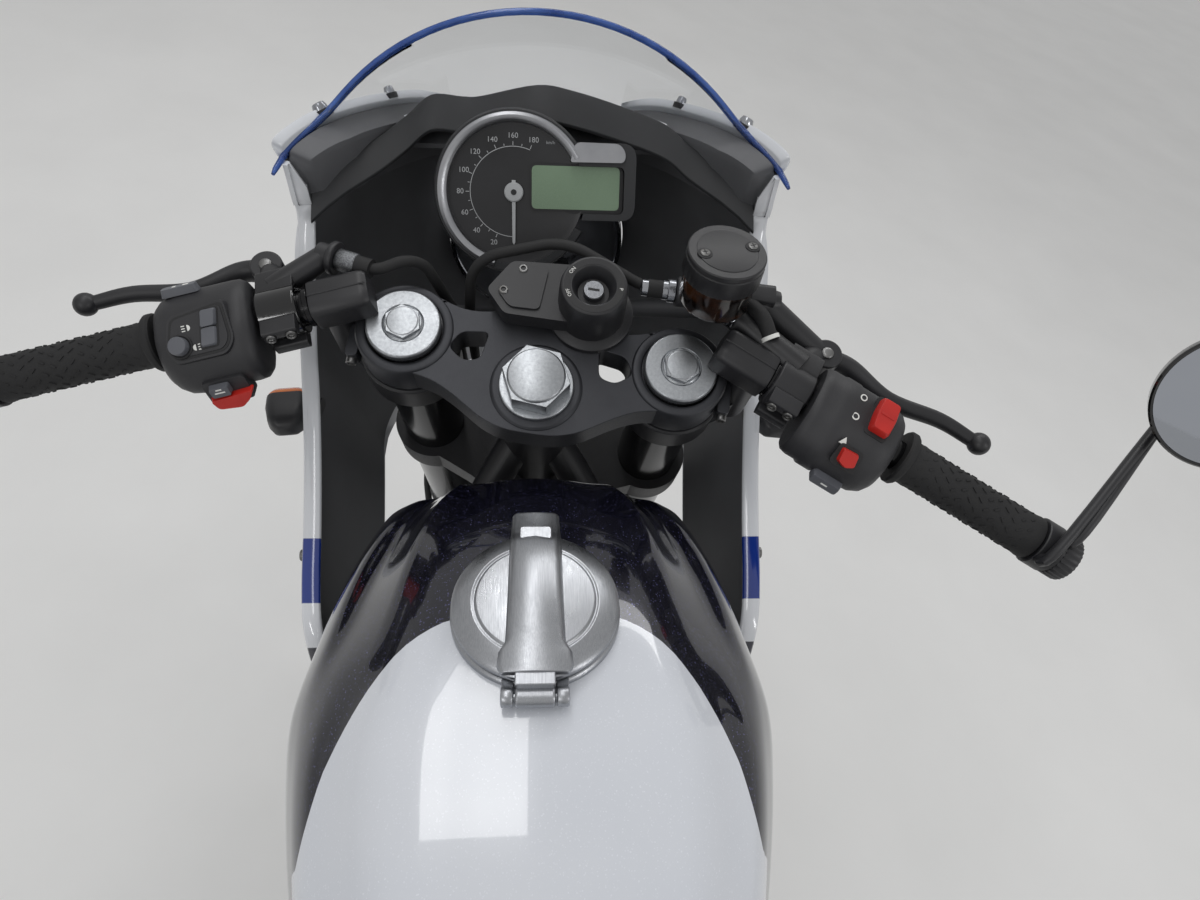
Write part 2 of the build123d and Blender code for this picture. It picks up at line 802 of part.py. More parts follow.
# Swingarm bridge between the arms: the cross tube with the shock's lugs, and the pivot spindle
bridge_half = arm_inner - fit_gap
with BuildPart() as swingarm_bridge:
    across(*arm_tube_at, bridge_half, -bridge_half, arm_tube_radius)
    across(*pivot_at, bridge_half, -bridge_half, axle_radius)
    for y in (24, -16):
        plate([(480, 400), (466, 444), (438, 446), (432, 420), (446, 390)], y, 8, 3)

# Rear shock absorber, whose spring is drawn as a ribbed sleeve
spring_coils = 8
spring_radius = 28.0
with BuildPart() as rear_shock:
    low, high = Vector(shock_low[0], 0, shock_low[1]), Vector(shock_high[0], 0, shock_high[1])
    across(*shock_low, 15.9, -15.9, 12)
    across(*shock_high, 12.9, -12.9, 12)
    rod(low, high, 9)
    rod(along(low, high, 22), along(low, high, 30), spring_radius)
    rod(along(high, low, 22), along(high, low, 60), 24)
    rod(along(high, low, 40), along(high, low, 47), spring_radius)
    start, stop = 34.0, (high - low).length - 51.0
    pitch = (stop - start) / spring_coils
    for coil in range(spring_coils):
        middle = along(low, high, start + pitch * (coil + 0.5))
        with BuildSketch(Plane(origin=middle, z_dir=high - low)) as ring:
            Circle(spring_radius - 1)
        extrude(ring.sketch, amount=pitch / 4, both=True)
    rod(along(low, high, 28), along(high, low, 44), 19)

# Crankcase, with the output shaft and its sprocket
with BuildPart() as crankcase:
    plate(
        [
            (566, 345),
            (570, 460),
            (640, 520),
            (820, 520),
            (884, 470),
            (900, 380),
            (868, 296),
            (760, 262),
            (655, 268),
            (600, 300),
        ],
        case_half,
        2 * case_half,
        10,
    )
    across(*drive_at, case_half, chain_y + 6, 12)
    across(*drive_at, chain_y + 3, chain_y - 3, drive_pitch - roller_radius - tooth_gap)
    for side in sides:
        with Locations((890, side * 55.9, 500)):
            Box(28, 20, 60)

# Cylinder, head and cover, leaning forwards, with cooling fins
cylinder_plane = Plane(
    origin=cylinder_at,
    x_dir=(cos(radians(cylinder_lean)), 0, -sin(radians(cylinder_lean))),
    z_dir=(sin(radians(cylinder_lean)), 0, cos(radians(cylinder_lean))),
)
fin_count = 7
with BuildPart() as cylinder:
    with BuildSketch(cylinder_plane.offset(-4)) as barrel:
        RectangleRounded(118, 116, 22)
    extrude(barrel.sketch, amount=barrel_height + 6)
    for index in range(fin_count):
        with BuildSketch(cylinder_plane.offset(14 + index * 11)) as fin:
            RectangleRounded(136, 136, 24)
        extrude(fin.sketch, amount=4)
    with BuildSketch(cylinder_plane.offset(barrel_height)) as head:
        RectangleRounded(132, 132, 16)
    extrude(head.sketch, amount=head_height)
    with BuildSketch(cylinder_plane.offset(barrel_height + head_height)) as cover:
        RectangleRounded(120, 118, 20)
    extrude(cover.sketch, amount=30, taper=12)
    plate([(700, 400), (700, 520), (900, 520), (900, 400)], 100, 200, mode=Mode.SUBTRACT)

# Outer covers of the engine
with BuildPart() as engine_covers:
    with BuildSketch(side_plane(case_half + 26)) as left_cover:
        with Locations((752, 395)):
            Circle(66)
    extrude(left_cover.sketch, amount=26)
    chamfer(engine_covers.faces().sort_by(Axis.Y)[-1].edges(), 8)
    with BuildSketch(side_plane(case_half + 29)) as sprocket_cover:
        with BuildLine():
            Line((572, 334), (572, 466))
            Line((572, 466), (610, 468))
            ThreePointArc((610, 468), (676, 402), (610, 336))
            Line((610, 336), (572, 334))
        make_face()
    extrude(sprocket_cover.sketch, amount=29)
    with BuildSketch(side_plane(case_half + 23)) as hollow:
        with BuildLine():
            Polyline((608, 346), (575, 338), (560, 326), (560, 474), (575, 459), (608, 459))
            ThreePointArc((608, 459), (665, 402), (608, 346))
        make_face()
    extrude(hollow.sketch, amount=24, mode=Mode.SUBTRACT)
    with BuildSketch(side_plane(-case_half)) as right_cover:
        with Locations((690, 388)):
            Circle(78)
        with Locations((800, 380)):
            Circle(56)
        with BuildLine():
            Polyline((700, 464), (806, 436), (806, 324), (700, 311), close=True)
        make_face()
    extrude(right_cover.sketch, amount=26)
    chamfer(engine_covers.faces().sort_by(Axis.Y)[0].edges(), 7)

# Radiator with its side tanks
with BuildPart() as radiator:
    with Locations((1000, 0, 595)):
        Box(26, 220, 190)
    for side in sides:
        with Locations((1000, side * 122, 595)):
            Box(30, 28, 200)

# Airbox and its duct to the cylinder head
intake = cylinder_plane.from_local_coords(Vector(-66, 0, barrel_height + 33))
with BuildPart() as airbox:
    with BuildSketch(Plane.XY.offset(545)) as box:
        with Locations((686, 0)):
            RectangleRounded(80, 112, 14)
    extrude(box.sketch, amount=128)
    rod(intake - cylinder_plane.x_dir * 50, intake, 24)

# Exhaust header and silencer
outlet = cylinder_plane.from_local_coords(Vector(66, -22, barrel_height + 30))
silencer_front = Vector(430, -188, 268)
silencer_back = Vector(75, -194, 396)
header_radius = 19.0
with BuildPart() as exhaust_header:
    tube(
        [
            outlet,
            outlet + cylinder_plane.x_dir * 62,
            (938, -30, 330),
            (900, -104, 232),
            (560, -120, 232),
            along(silencer_front, silencer_back, -58),
            silencer_front,
        ],
        header_radius,
        [36, 90, 50, 60, 40],
    )
    rod(outlet, outlet + cylinder_plane.x_dir * 8, header_radius + 8)

with BuildPart() as silencer:
    rod(silencer_front, along(silencer_front, silencer_back, 60), header_radius + 2, 49)
    rod(along(silencer_front, silencer_back, 60), along(silencer_back, silencer_front, 26), 49)
    rod(along(silencer_back, silencer_front, 26), silencer_back, 49, 38)
    flow = (silencer_back - silencer_front).normalized()
    for lift in (17, -17):
        stub = silencer_back + Vector(0, 0, lift)
        rod(stub - flow * 12, stub + flow * 16, 14)
        rod(stub - flow * 30, stub + flow * 17, 11, mode=Mode.SUBTRACT)

# Fuel tank: each row is a section's place along X, half width, top, widest height and bottom
tank_sections = (
    (1008, 112, 902, 852, 792),
    (935, 140, 926, 850, 762),
    (860, 150, 937, 845, 742),
    (790, 146, 932, 835, 732),
    (710, 128, 905, 820, 718),
    (628, 102, 848, 780, 706),
)
with BuildPart() as fuel_tank:
    for x, half, top, wide, bottom in tank_sections:
        with BuildSketch(Plane(origin=(x, 0, 0), x_dir=(0, 1, 0), z_dir=(1, 0, 0))):
            with BuildLine():
                low, high = half - 22, half - 34
                Line((-low, bottom), (low, bottom))
                ThreePointArc((low, bottom), (half, wide), (high, top - 22))
                ThreePointArc((high, top - 22), (0, top), (-high, top - 22))
                ThreePointArc((-high, top - 22), (-half, wide), (-low, bottom))
            make_face()
    loft()
    spar_slope = (spar[1][2] - spar[2][2]) / (spar[1][0] - spar[2][0])
    crown = spar[2][2] + spar_radius * sqrt(1 + spar_slope**2) + seat_gap
    plate(
        [
            (600, crown - 40 * spar_slope),
            (1100, crown + 460 * spar_slope),
            (1100, 600),
            (600, 600),
        ],
        92,
        184,
        mode=Mode.SUBTRACT,
    )
    x, z = filler_at
    rod((x, 0, z - lid_sink), (x, 0, z + 20), lid_radius + 3, mode=Mode.SUBTRACT)
    rod((x, 0, z - filler_depth), (x, 0, z + 1), filler_radius, mode=Mode.SUBTRACT)

# Filler: a fixed ring on the tank, and the lid that hinges at its rear
lid_bottom = filler_at[1] + lid_base_thick - lid_sink
lid_hinge = (filler_at[0] - lid_radius - 8, 0.0, lid_bottom + 4)
with BuildPart() as filler_ring:
    x, z = filler_at
    rod((x, 0, z - lid_sink), (x, 0, lid_bottom), lid_radius)
    rod((x, 0, z - lid_sink - 1), (x, 0, lid_bottom + 1), filler_radius, mode=Mode.SUBTRACT)
    for side in sides:
        with Locations((lid_hinge[0] + 8, side * 15, z + 4)):
            Box(20, 7, 7)
        across(lid_hinge[0], lid_hinge[2], side * 18.5, side * 11.5, 6)
    across(lid_hinge[0], lid_hinge[2], 18.5, -18.5, 2)

with BuildPart() as fuel_lid:
    x, z = filler_at
    rod((x, 0, lid_bottom + running_gap), (x, 0, lid_bottom + lid_thick), lid_radius - 1)
    across(lid_hinge[0], lid_hinge[2], 11.2, -11.2, 6)
    with Locations((x - 24, 0, lid_bottom + 8)):
        Box(66, 22, 8)
    across(lid_hinge[0], lid_hinge[2], 20, -20, 2.3, mode=Mode.SUBTRACT)
    for side in sides:
        across(lid_hinge[0], lid_hinge[2], side * 11.2, side * 19, 7, mode=Mode.SUBTRACT)
        with Locations((lid_hinge[0] + 8, side * 15, z + 4)):
            Box(22, 7.6, 20, mode=Mode.SUBTRACT)

# Seat: each row is a section's place along X, half width, top and rise of the crown
seat_sections = (
    (627.6, 98, 830, 8),
    (560, 116, 803, 9),
    (460, 130, 795, 8),
    (350, 128, 812, 9),
    (290, 118, 842, 9),
)
seat_lift = rail_radius * sqrt(1 + seat_slope**2) + seat_gap
with BuildPart() as seat:
    for x, half, top, rise in seat_sections:
        base = seat_rail[0][2] + (seat_rail[0][0] - x) * seat_slope + seat_lift
        with BuildSketch(Plane(origin=(x, 0, 0), x_dir=(0, 1, 0), z_dir=(1, 0, 0))):
            with BuildLine():
                Polyline((half, top - rise), (half, base), (-half, base), (-half, top - rise))
                ThreePointArc((-half, top - rise), (0, top), (half, top - rise))
            make_face()
    loft(ruled=True)

# Tail cowl: each row is a section's place along X, half width, bottom and top
tail_sections = (
    (289.6, 122, 792, 868),
    (150, 108, 806, 902),
    (0, 88, 828, 908),
    (-78, 60, 850, 898),
)
with BuildPart() as tail_cowl:
    for x, half, base, top in tail_sections:
        with BuildSketch(Plane(origin=(x, 0, 0), x_dir=(0, 1, 0), z_dir=(1, 0, 0))):
            with BuildLine():
                shoulder = top - 26
                Line((-half + 14, base), (half - 14, base))
                ThreePointArc((half - 14, base), (half, (base + shoulder) / 2), (half - 12, shoulder))
                ThreePointArc((half - 12, shoulder), (0, top), (12 - half, shoulder))
                ThreePointArc((12 - half, shoulder), (-half, (base + shoulder) / 2), (14 - half, base))
            make_face()
    loft()

# Side panels below the seat
with BuildPart() as side_panels:
    for y in (100, -96):
        plate([(618, 703), (606, 610), (560, 560), (430, 640), (372, 766)], y, 4)

# Rear mudguard with the number plate's holder
with BuildPart() as tail_unit:
    plate(
        [(20, 798), (-62, 790), (-140, 700), (-262, 530), (-255, 525), (-134, 694), (-58, 782), (20, 791)],
        86,
        172,
    )

# Tail lamp and rear indicators
with BuildPart() as rear_lamps:
    with BuildSketch(Plane(origin=(-78, 0, 874), x_dir=(0, 1, 0), z_dir=(-1, 0, 0))) as lamp:
        RectangleRounded(92, 36, 12)
    extrude(lamp.sketch, amount=18, taper=10)
    for side in sides:
        with BuildSketch(Plane(origin=(-104, side * 86, 736), x_dir=(1, 0, 0), z_dir=(0, side, 0))) as stem:
            Circle(8)
        extrude(stem.sketch, amount=46)
        across(-104, 736, side * 130, side * 168, 16)


# Fairing: each row is a level section's height, place of the nose along X, and half width
fairing_sections = (
    (680, 1285, 148),
    (745, 1335, 158),
    (800, 1375, 172),
    (865, 1392, 186),
    (930, 1385, 192),
    (1000, 1345, 190),
    (1050, 1305, 182),
)
screen_sections = (
    (985, 1358, 197),
    (1050, 1332, 194),
    (1125, 1284, 170),
)
fairing_rear = 860.0
nose_from = 1180.0
tail_narrowing = 0.93


def bubble(rows, inset):
    """The solid inside a fairing's surface, drawn in by this much, from its level sections."""
    with BuildPart(mode=Mode.PRIVATE) as solid:
        for z, nose, half in rows:
            wide, narrow = half - inset, half * tail_narrowing - inset
            with BuildSketch(Plane.XY.offset(z)):
                with BuildLine():
                    Polyline(
                        (nose_from, wide),
                        (fairing_rear - inset, narrow),
                        (fairing_rear - inset, -narrow),
                        (nose_from, -wide),
                    )
                    ThreePointArc((nose_from, -wide), (nose - inset, 0), (nose_from, wide))
                make_face()
        loft()
    return solid.part


fairing_edge = (
    (1330, 1048),
    (1205, 1012),
    (1200, 985),
    (1130, 905),
    (1045, 857),
    (960, 830),
    (924, 812),
    (886, 731),
    (880, 700),
    (960, 690),
    (1080, 700),
    (1200, 735),
    (1330, 745),
    (1430, 745),
    (1430, 1048),
)
screen_edge = ((1226, 1004), (1294, 1120), (1430, 1120), (1430, 1020))
lip = 12.0
fairing_outer = bubble(fairing_sections, 0)
fairing_inner = bubble(fairing_sections, skin)
liner_outer = bubble(fairing_sections, skin + fit_gap)
liner_inner = bubble(fairing_sections, skin + fit_gap + liner_skin)
screen_outer = bubble(screen_sections, 0)
screen_inner = bubble(screen_sections, 3)


def side_slab(outline, shrink=0.0):
    """A slab across the whole bike with this side outline."""
    with BuildPart(mode=Mode.PRIVATE) as slab:
        with BuildSketch(side_plane(260)) as face:
            with BuildLine():
                Polyline(*outline, close=True)
            make_face()
            if shrink:
                offset(amount=-shrink)
        extrude(face.sketch, amount=520)
    return slab.part


with BuildPart(mode=Mode.PRIVATE) as lamp_space:
    rod((1240, 0, lamp_height), (1430, 0, lamp_height), lamp_radius + 2)

with BuildPart(mode=Mode.PRIVATE) as screen_posts:
    for side in sides:
        across(1236, 1012, side * 150, side * 230, 7)

fairing_shell = (fairing_outer - fairing_inner) & side_slab(fairing_edge)
post_stubs = (screen_posts.part & screen_inner) - fairing_inner
nose_split = 1250.0

with BuildPart() as fairing_nose:
    add(fairing_shell - lamp_space.part)
    split(bisect_by=Plane.YZ.offset(nose_split), keep=Keep.TOP)

with BuildPart() as fairing_sides:
    add(fairing_shell)
    add(post_stubs)
    split(bisect_by=Plane.YZ.offset(nose_split), keep=Keep.BOTTOM)

with BuildPart() as windscreen:
    add((screen_outer - screen_inner) & side_slab(screen_edge))

with BuildPart(mode=Mode.PRIVATE) as liner_ties:
    across(1246, lamp_height, 220, -220, 8)
    rod((1200, 0, lamp_height), (1310, 0, lamp_height), stay_radius + fit_gap, mode=Mode.SUBTRACT)
    plate([(1266, 1019), (1330, 1037), (1330, 1033), (1266, 1015)], 220, 440)

liner_shell = (liner_outer - liner_inner) & side_slab(fairing_edge, lip)
with BuildPart() as fairing_liner:
    add(liner_shell)
    split(bisect_by=Plane.YZ.offset(nose_from + fit_gap), keep=Keep.TOP)
    add(liner_ties.part & liner_outer)
    add(lamp_space.part, mode=Mode.SUBTRACT)

with BuildPart() as liner_sides:
    add(liner_shell)
    split(bisect_by=Plane.YZ.offset(nose_from), keep=Keep.BOTTOM)

# Headlamp: bowl and glass
lamp_axis = Axis((0, 0, lamp_height), (1, 0, 0))
lamp_plane = Plane(origin=(0, 0, lamp_height), x_dir=(1, 0, 0), z_dir=(0, -1, 0))
glass_from = 1366.0
with BuildPart() as headlamp:
    with BuildSketch(lamp_plane) as bowl:
        with BuildLine():
            Line((lamp_back, 0), (lamp_back, 34))
            ThreePointArc((lamp_back, 34), (1326, 68), (1352, 84))
            Polyline((1352, 84), (1352, lamp_radius), (glass_from, lamp_radius), (glass_from, 82), (1354, 80))
            ThreePointArc((1354, 80), (1330, 62), (1312, 0))
            Line((1312, 0), (lamp_back, 0))
        make_face()
    for half_turn in (180, -180):
        revolve(bowl.sketch, axis=lamp_axis, revolution_arc=half_turn)

with BuildPart() as headlamp_lens:
    with BuildSketch(lamp_plane) as glass:
        with BuildLine():
            ThreePointArc((glass_from, lamp_radius), (1384, 48), (1392, 0))
            Line((1392, 0), (1388, 0))
            ThreePointArc((1388, 0), (1380, 46), (glass_from, 82))
            Line((glass_from, 82), (glass_from, lamp_radius))
        make_face()
    for half_turn in (180, -180):
        revolve(glass.sketch, axis=lamp_axis, revolution_arc=half_turn)

# Dash hood above the instruments: each row is a place to the left, then the place along X and the height
# of the crest, and the place and height of the foot in front of it
hood_sections = (
    (150, 1236, 1022, 1244, 1014),
    (125, 1257, 1039, 1265, 1019.3),
    (105, 1270, 1047, 1283, 1024.1),
    (85, 1274, 1052, 1295, 1027.5),
    (60, 1275, 1049, 1297, 1028.1),
    (45, 1275, 1050, 1297, 1028.1),
    (0, 1276, 1066, 1298, 1028.4),
    (-30, 1276, 1062, 1298, 1028.4),
    (-70, 1275, 1051, 1297, 1028.1),
    (-105, 1270, 1047, 1283, 1024.1),
    (-125, 1257, 1039, 1265, 1019.3),
    (-150, 1236, 1022, 1244, 1014),
)
hood_skin = 4.0
with BuildPart() as dash_hood:
    for y, crest, high, front, low in hood_sections:
        with BuildSketch(side_plane(y)):
            with BuildLine():
                Polyline(
                    (crest - 22, high - 16),
                    (crest, high),
                    (front, low),
                    (front - hood_skin, low),
                    (crest - 1, high - 1.5 * hood_skin),
                    (crest - 21, high - 16 - hood_skin),
                    close=True,
                )
            make_face()
    loft(ruled=True)

# Instrument pod and its face
with BuildPart() as instrument_pod:
    with BuildSketch(pod_plane.offset(-pod_depth)) as pod_shell:
        with Locations((dial_shift, 0)):
            Circle(dial_radius + 5)
        with Locations(shell_at):
            RectangleRounded(*shell_size, 12)
    extrude(pod_shell.sketch, amount=pod_depth)
    with BuildSketch(pod_plane) as pod_recess:
        with Locations((dial_shift, 0)):
            Circle(dial_radius - 3)
        with Locations(face_at):
            RectangleRounded(*face_size, 5)
    extrude(pod_recess.sketch, amount=-6, mode=Mode.SUBTRACT)

with BuildPart() as instrument_face:
    with BuildSketch(pod_plane.offset(-6)) as dial:
        with Locations((dial_shift, 0)):
            Circle(dial_radius - 3 - fit_gap)
        with Locations(face_at):
            RectangleRounded(*(length - 2 * fit_gap for length in face_size), 5)
    extrude(dial.sketch, amount=3)
    with BuildSketch(pod_plane.offset(-3)) as boss:
        with Locations((dial_shift, 0)):
            Circle(7)
    extrude(boss.sketch, amount=4)

# Front indicators on the fairing's sides
with BuildPart() as front_indicators:
    for side in sides:
        across(1110, 862, side * 150, side * 212, 8)
        rod((1104, side * 212, 862), (1124, side * 246, 862), 15)
    add(fairing_outer, mode=Mode.SUBTRACT)

# Footrests, pedals and their hangers
hanger_inner = 132.0
hanger_thick = 8.0
with BuildPart() as foot_controls:
    for side in sides:
        outer = hanger_inner + hanger_thick
        left_face = outer if side > 0 else -hanger_inner
        plate(
            [(408, 350), (452, 346), (520, 440), (566, 478), (552, 500), (495, 520), (470, 470), (396, 395)],
            left_face,
            hanger_thick,
            6,
        )
        across(430, 372, side * outer, side * 238, 11)
        across(430, 372, side * outer, side * (outer + 12), 17)
        rod((440, side * 148, 372), (566, side * 150, 330), 7)
        across(566, 330, side * 146, side * 186, 8)
    plate([(470, 470), (476, 446), (340, 376), (322, 388)], -hanger_inner, hanger_thick, 4)
    with BuildSketch(side_plane(-hanger_inner - hanger_thick)) as strap:
        with BuildLine():
            Polyline((318, 392), (352, 392), (352, 366), (318, 366), close=True)
        make_face()
    extrude(strap.sketch, amount=52)
    rod(along(silencer_front, silencer_back, 56), along(silencer_back, silencer_front, 20), 49 + fit_gap,
        mode=Mode.SUBTRACT)


# Drive chain, as side plates and rollers in one loop
def chain_loop(swell):
    """The outline of a belt round both sprockets, this far outside the pitch line."""
    drive, rear = Vector(*drive_at), Vector(0, rear_radius)
    reach = drive - rear
    base = atan2(reach.Y, reach.X)
    open_by = asin((rear_pitch - drive_pitch) / reach.length)
    small, large = drive_pitch + swell, rear_pitch + swell

    def spot(centre, radius, angle):
        return centre + Vector(cos(angle), sin(angle)) * radius

    upper, lower = base + pi / 2 - open_by, base - pi / 2 + open_by
    with BuildLine() as belt:
        Line(spot(rear, large, upper), spot(drive, small, upper))
        ThreePointArc(spot(drive, small, upper), spot(drive, small, base), spot(drive, small, lower))
        Line(spot(drive, small, lower), spot(rear, large, lower))
        ThreePointArc(spot(rear, large, lower), spot(rear, large, base + pi), spot(rear, large, upper))
    return belt.line


def chain_band(y, thick, height):
    """One band of the chain's loop."""
    with BuildSketch(side_plane(y)) as band:
        make_face(chain_loop(height / 2).edges())
        make_face(chain_loop(-height / 2).edges(), mode=Mode.SUBTRACT)
    extrude(band.sketch, amount=thick)


plate_thick = 3.0
with BuildPart() as drive_chain:
    chain_band(chain_y + chain_width / 2, plate_thick, chain_height)
    chain_band(chain_y + chain_width / 2 - plate_thick, chain_width - 2 * plate_thick, 2 * roller_radius)
    chain_band(chain_y - chain_width / 2 + plate_thick, plate_thick, chain_height)

# Rear caliper, inside the right arm
with BuildPart() as rear_caliper:
    with BuildSketch(side_plane(rear_disc_y + 17)) as rear_body:
        with Locations(Location((58, 386, 0), 140)):
            RectangleRounded(92, 48, 12)
    extrude(rear_body.sketch, amount=arm_inner + rear_disc_y + 17 - fit_gap)
    plate([(20, 370), (96, 370), (96, 318), (44, 312)], -arm_inner + 6.9, 6.8, 4)
    with BuildSketch(side_plane(rear_disc_y + disc_thick / 2 + moving_gap)) as rear_slot:
        with Locations((0, rear_radius)):
            Circle(rear_disc_radius + moving_gap)
    extrude(rear_slot.sketch, amount=disc_thick + 2 * moving_gap, mode=Mode.SUBTRACT)


# Parking: lean on the stand, set both tyres on the ground
def lowest(place, radius, width, crown):
    """The height of a leaning tyre's lowest point: a ring as thick as the tread's rounding."""
    rounding = (width**2 / 4 + crown**2) / (2 * crown)
    tilt = (place * Location((0, 1, 0))).position - place.position
    return place.position.Z - (radius - rounding) * sqrt(1 - tilt.Z**2) - rounding


leaning = Location((0, 0, 0), (-lean, 0, 0))
rear_low = lowest(leaning * rear_wheel_at, rear_radius, rear_width, rear_crown)
front_low = lowest(leaning * front_wheel_at, front_radius, front_width, front_crown)
nod = degrees(asin((front_low - rear_low) / wheelbase))
standing = Location((0, 0, -rear_low)) * Location((0, 0, 0), (0, nod, 0)) * leaning
ground = standing.inverse() * Plane.XY

# Side stand, whose foot lies flat on the ground
stand_down = Vector(0, sin(radians(stand_tilt)), -cos(radians(stand_tilt)))
stand_knee = stand_at + Vector(stand_lead, 0, 0)
drop = (ground.origin - stand_knee).dot(ground.z_dir) / stand_down.dot(ground.z_dir)
sole = stand_knee + stand_down * drop
with BuildPart() as side_stand:
    rod(stand_at - hinge_axis * 12, stand_at + hinge_axis * 12, stand_eye)
    rod(stand_at, sole + ground.z_dir * foot_thick * 0.7, 10)
    with BuildSketch(Plane(origin=sole, x_dir=(1, 0, 0), z_dir=ground.z_dir)) as foot_pad:
        Circle(foot_radius)
    extrude(foot_pad.sketch, amount=foot_thick)
    rod(stand_at - hinge_axis * 20, stand_at + hinge_axis * 20, stand_pin + running_gap, mode=Mode.SUBTRACT)

for builder, name in (
    (top_yoke, "top_yoke"),
    (lower_yoke, "lower_yoke"),
    (fork_tubes, "fork_tubes"),
    (fork_sliders, "fork_sliders"),
    (fork_caps, "fork_caps"),
    (ignition_lock, "ignition_lock"),
    (front_mudguard, "front_mudguard"),
    (front_caliper, "front_caliper"),
    (handlebars, "handlebars"),
    (grips, "grips"),
    (switch_left, "switch_left"),
    (switch_right, "switch_right"),
    (hand_levers, "hand_levers"),
    (brake_reservoir, "brake_reservoir"),
    (mirrors, "mirrors"),
    (clutch_cable, "clutch_cable"),
    (brake_hose, "brake_hose"),
):
    keep(builder, name, turned)

for builder, name in (
    (front_axle, "front_axle"),
    (front_tyre, "front_tyre"),
    (front_rim, "front_rim"),
    (front_disc, "front_disc"),
):
    keep(builder, name, front_wheel_at)

for builder, name in (
    (rear_axle, "rear_axle"),
    (rear_tyre, "rear_tyre"),
    (rear_rim, "rear_rim"),
    (rear_disc, "rear_disc"),
    (rear_sprocket, "rear_sprocket"),
):
    keep(builder, name, rear_wheel_at)

for builder, name in (
    (frame, "frame"),
    (swingarm, "swingarm"),
    (swingarm_bridge, "swingarm_bridge"),
    (rear_shock, "rear_shock"),
    (crankcase, "crankcase"),
    (cylinder, "cylinder"),
    (engine_covers, "engine_covers"),
    (radiator, "radiator"),
    (airbox, "airbox"),
    (exhaust_header, "exhaust_header"),
    (silencer, "silencer"),
    (fuel_tank, "fuel_tank"),
    (filler_ring, "filler_ring"),
    (fuel_lid, "fuel_lid"),
    (seat, "seat"),
    (tail_cowl, "tail_cowl"),
    (side_panels, "side_panels"),
    (tail_unit, "tail_unit"),
    (rear_lamps, "rear_lamps"),
    (fairing_nose, "fairing_nose"),
    (fairing_sides, "fairing_sides"),
    (fairing_liner, "fairing_liner"),
    (liner_sides, "liner_sides"),
    (windscreen, "windscreen"),
    (headlamp, "headlamp"),
    (headlamp_lens, "headlamp_lens"),
    (dash_hood, "dash_hood"),
    (instrument_pod, "instrument_pod"),
    (instrument_face, "instrument_face"),
    (front_indicators, "front_indicators"),
    (foot_controls, "foot_controls"),
    (drive_chain, "drive_chain"),
    (rear_caliper, "rear_caliper"),
    (side_stand, "side_stand"),
):
    keep(builder, name)

# The origin goes under the middle of the parked bike
box = Compound(children=[standing * piece for piece in pieces.values()]).bounding_box()
parked = Location((-box.center().X, -box.center().Y, -box.min.Z)) * standing

os.makedirs("parts", exist_ok=True)
for name, piece in pieces.items():
    placed = parked * piece
    placed.label = name
    export_step(placed, f"parts/{name}.step")
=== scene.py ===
"""The looks of a cafe racer motorcycle with a half fairing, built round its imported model.

Pieces are drawn in millimetres in the bike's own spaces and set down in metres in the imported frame:
BIKE has its origin on the ground under the rear axle, +X forward, +Y to the rider's left, +Z up;
FORK turns with the steering, with its origin in the top yoke's upper face and +Z up the steering axis.
"""

import json
from math import asin, atan2, cos, pi, radians, sin, sqrt

import bmesh
import bpy
from mathutils import Matrix, Vector


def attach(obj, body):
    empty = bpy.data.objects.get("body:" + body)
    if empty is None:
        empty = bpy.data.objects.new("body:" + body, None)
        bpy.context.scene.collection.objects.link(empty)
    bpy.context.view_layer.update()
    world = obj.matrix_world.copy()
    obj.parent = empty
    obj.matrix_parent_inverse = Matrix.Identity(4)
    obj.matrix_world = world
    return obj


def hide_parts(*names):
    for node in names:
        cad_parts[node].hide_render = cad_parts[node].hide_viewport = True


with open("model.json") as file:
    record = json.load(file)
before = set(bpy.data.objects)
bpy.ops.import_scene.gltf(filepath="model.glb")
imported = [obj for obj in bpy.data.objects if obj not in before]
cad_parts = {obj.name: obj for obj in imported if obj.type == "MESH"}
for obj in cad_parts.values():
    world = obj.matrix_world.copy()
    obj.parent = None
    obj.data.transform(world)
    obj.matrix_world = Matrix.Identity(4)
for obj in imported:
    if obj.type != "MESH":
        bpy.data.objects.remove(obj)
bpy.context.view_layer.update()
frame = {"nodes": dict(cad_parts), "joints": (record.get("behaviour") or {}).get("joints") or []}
nodes = frame["nodes"]
joints = {joint["name"]: joint for joint in frame["joints"]}

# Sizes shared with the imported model
MM = 0.001
RAKE = radians(24.5)
FORK_OFFSET = 29.144
FORK_LENGTH = 740.0
FORK_HALF = 100.0
FRONT_RADIUS = 293.0
REAR_RADIUS = 306.0
SIDES = (1, -1)  # the rider's left, then right


# Spaces
def joint_axis(name):
    return Vector(joints[name]["axis"]).normalized()


def space(x, y, z, origin):
    """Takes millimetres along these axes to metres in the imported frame."""
    turn = Matrix((x, y, z)).transposed()
    return Matrix.Translation(origin) @ (turn * MM).to_4x4()


def moved(x, y, z):
    return Matrix.Translation((x, y, z))


def turned(degrees):
    """A turn round local Z."""
    return Matrix.Rotation(radians(degrees), 4, "Z")


bike_left = joint_axis("rear_wheel_spin")
steer_up = joint_axis("steering")
steer_on = bike_left.cross(steer_up)
bike_ahead = steer_on * cos(RAKE) - steer_up * sin(RAKE)
bike_up = steer_on * sin(RAKE) + steer_up * cos(RAKE)
rear_axle = Vector(joints["rear_wheel_spin"]["pos_m"])
BIKE = space(bike_ahead, bike_left, bike_up, rear_axle - bike_up * REAR_RADIUS * MM)
REAR = BIKE @ moved(0, 0, REAR_RADIUS)
fork_left = joint_axis("front_wheel_spin")
FORK = space(fork_left.cross(steer_up), fork_left, steer_up, Vector(joints["steering"]["pos_m"]))
FRONT = FORK @ moved(FORK_OFFSET, 0, -FORK_LENGTH)
HERE = Matrix.Identity(4)


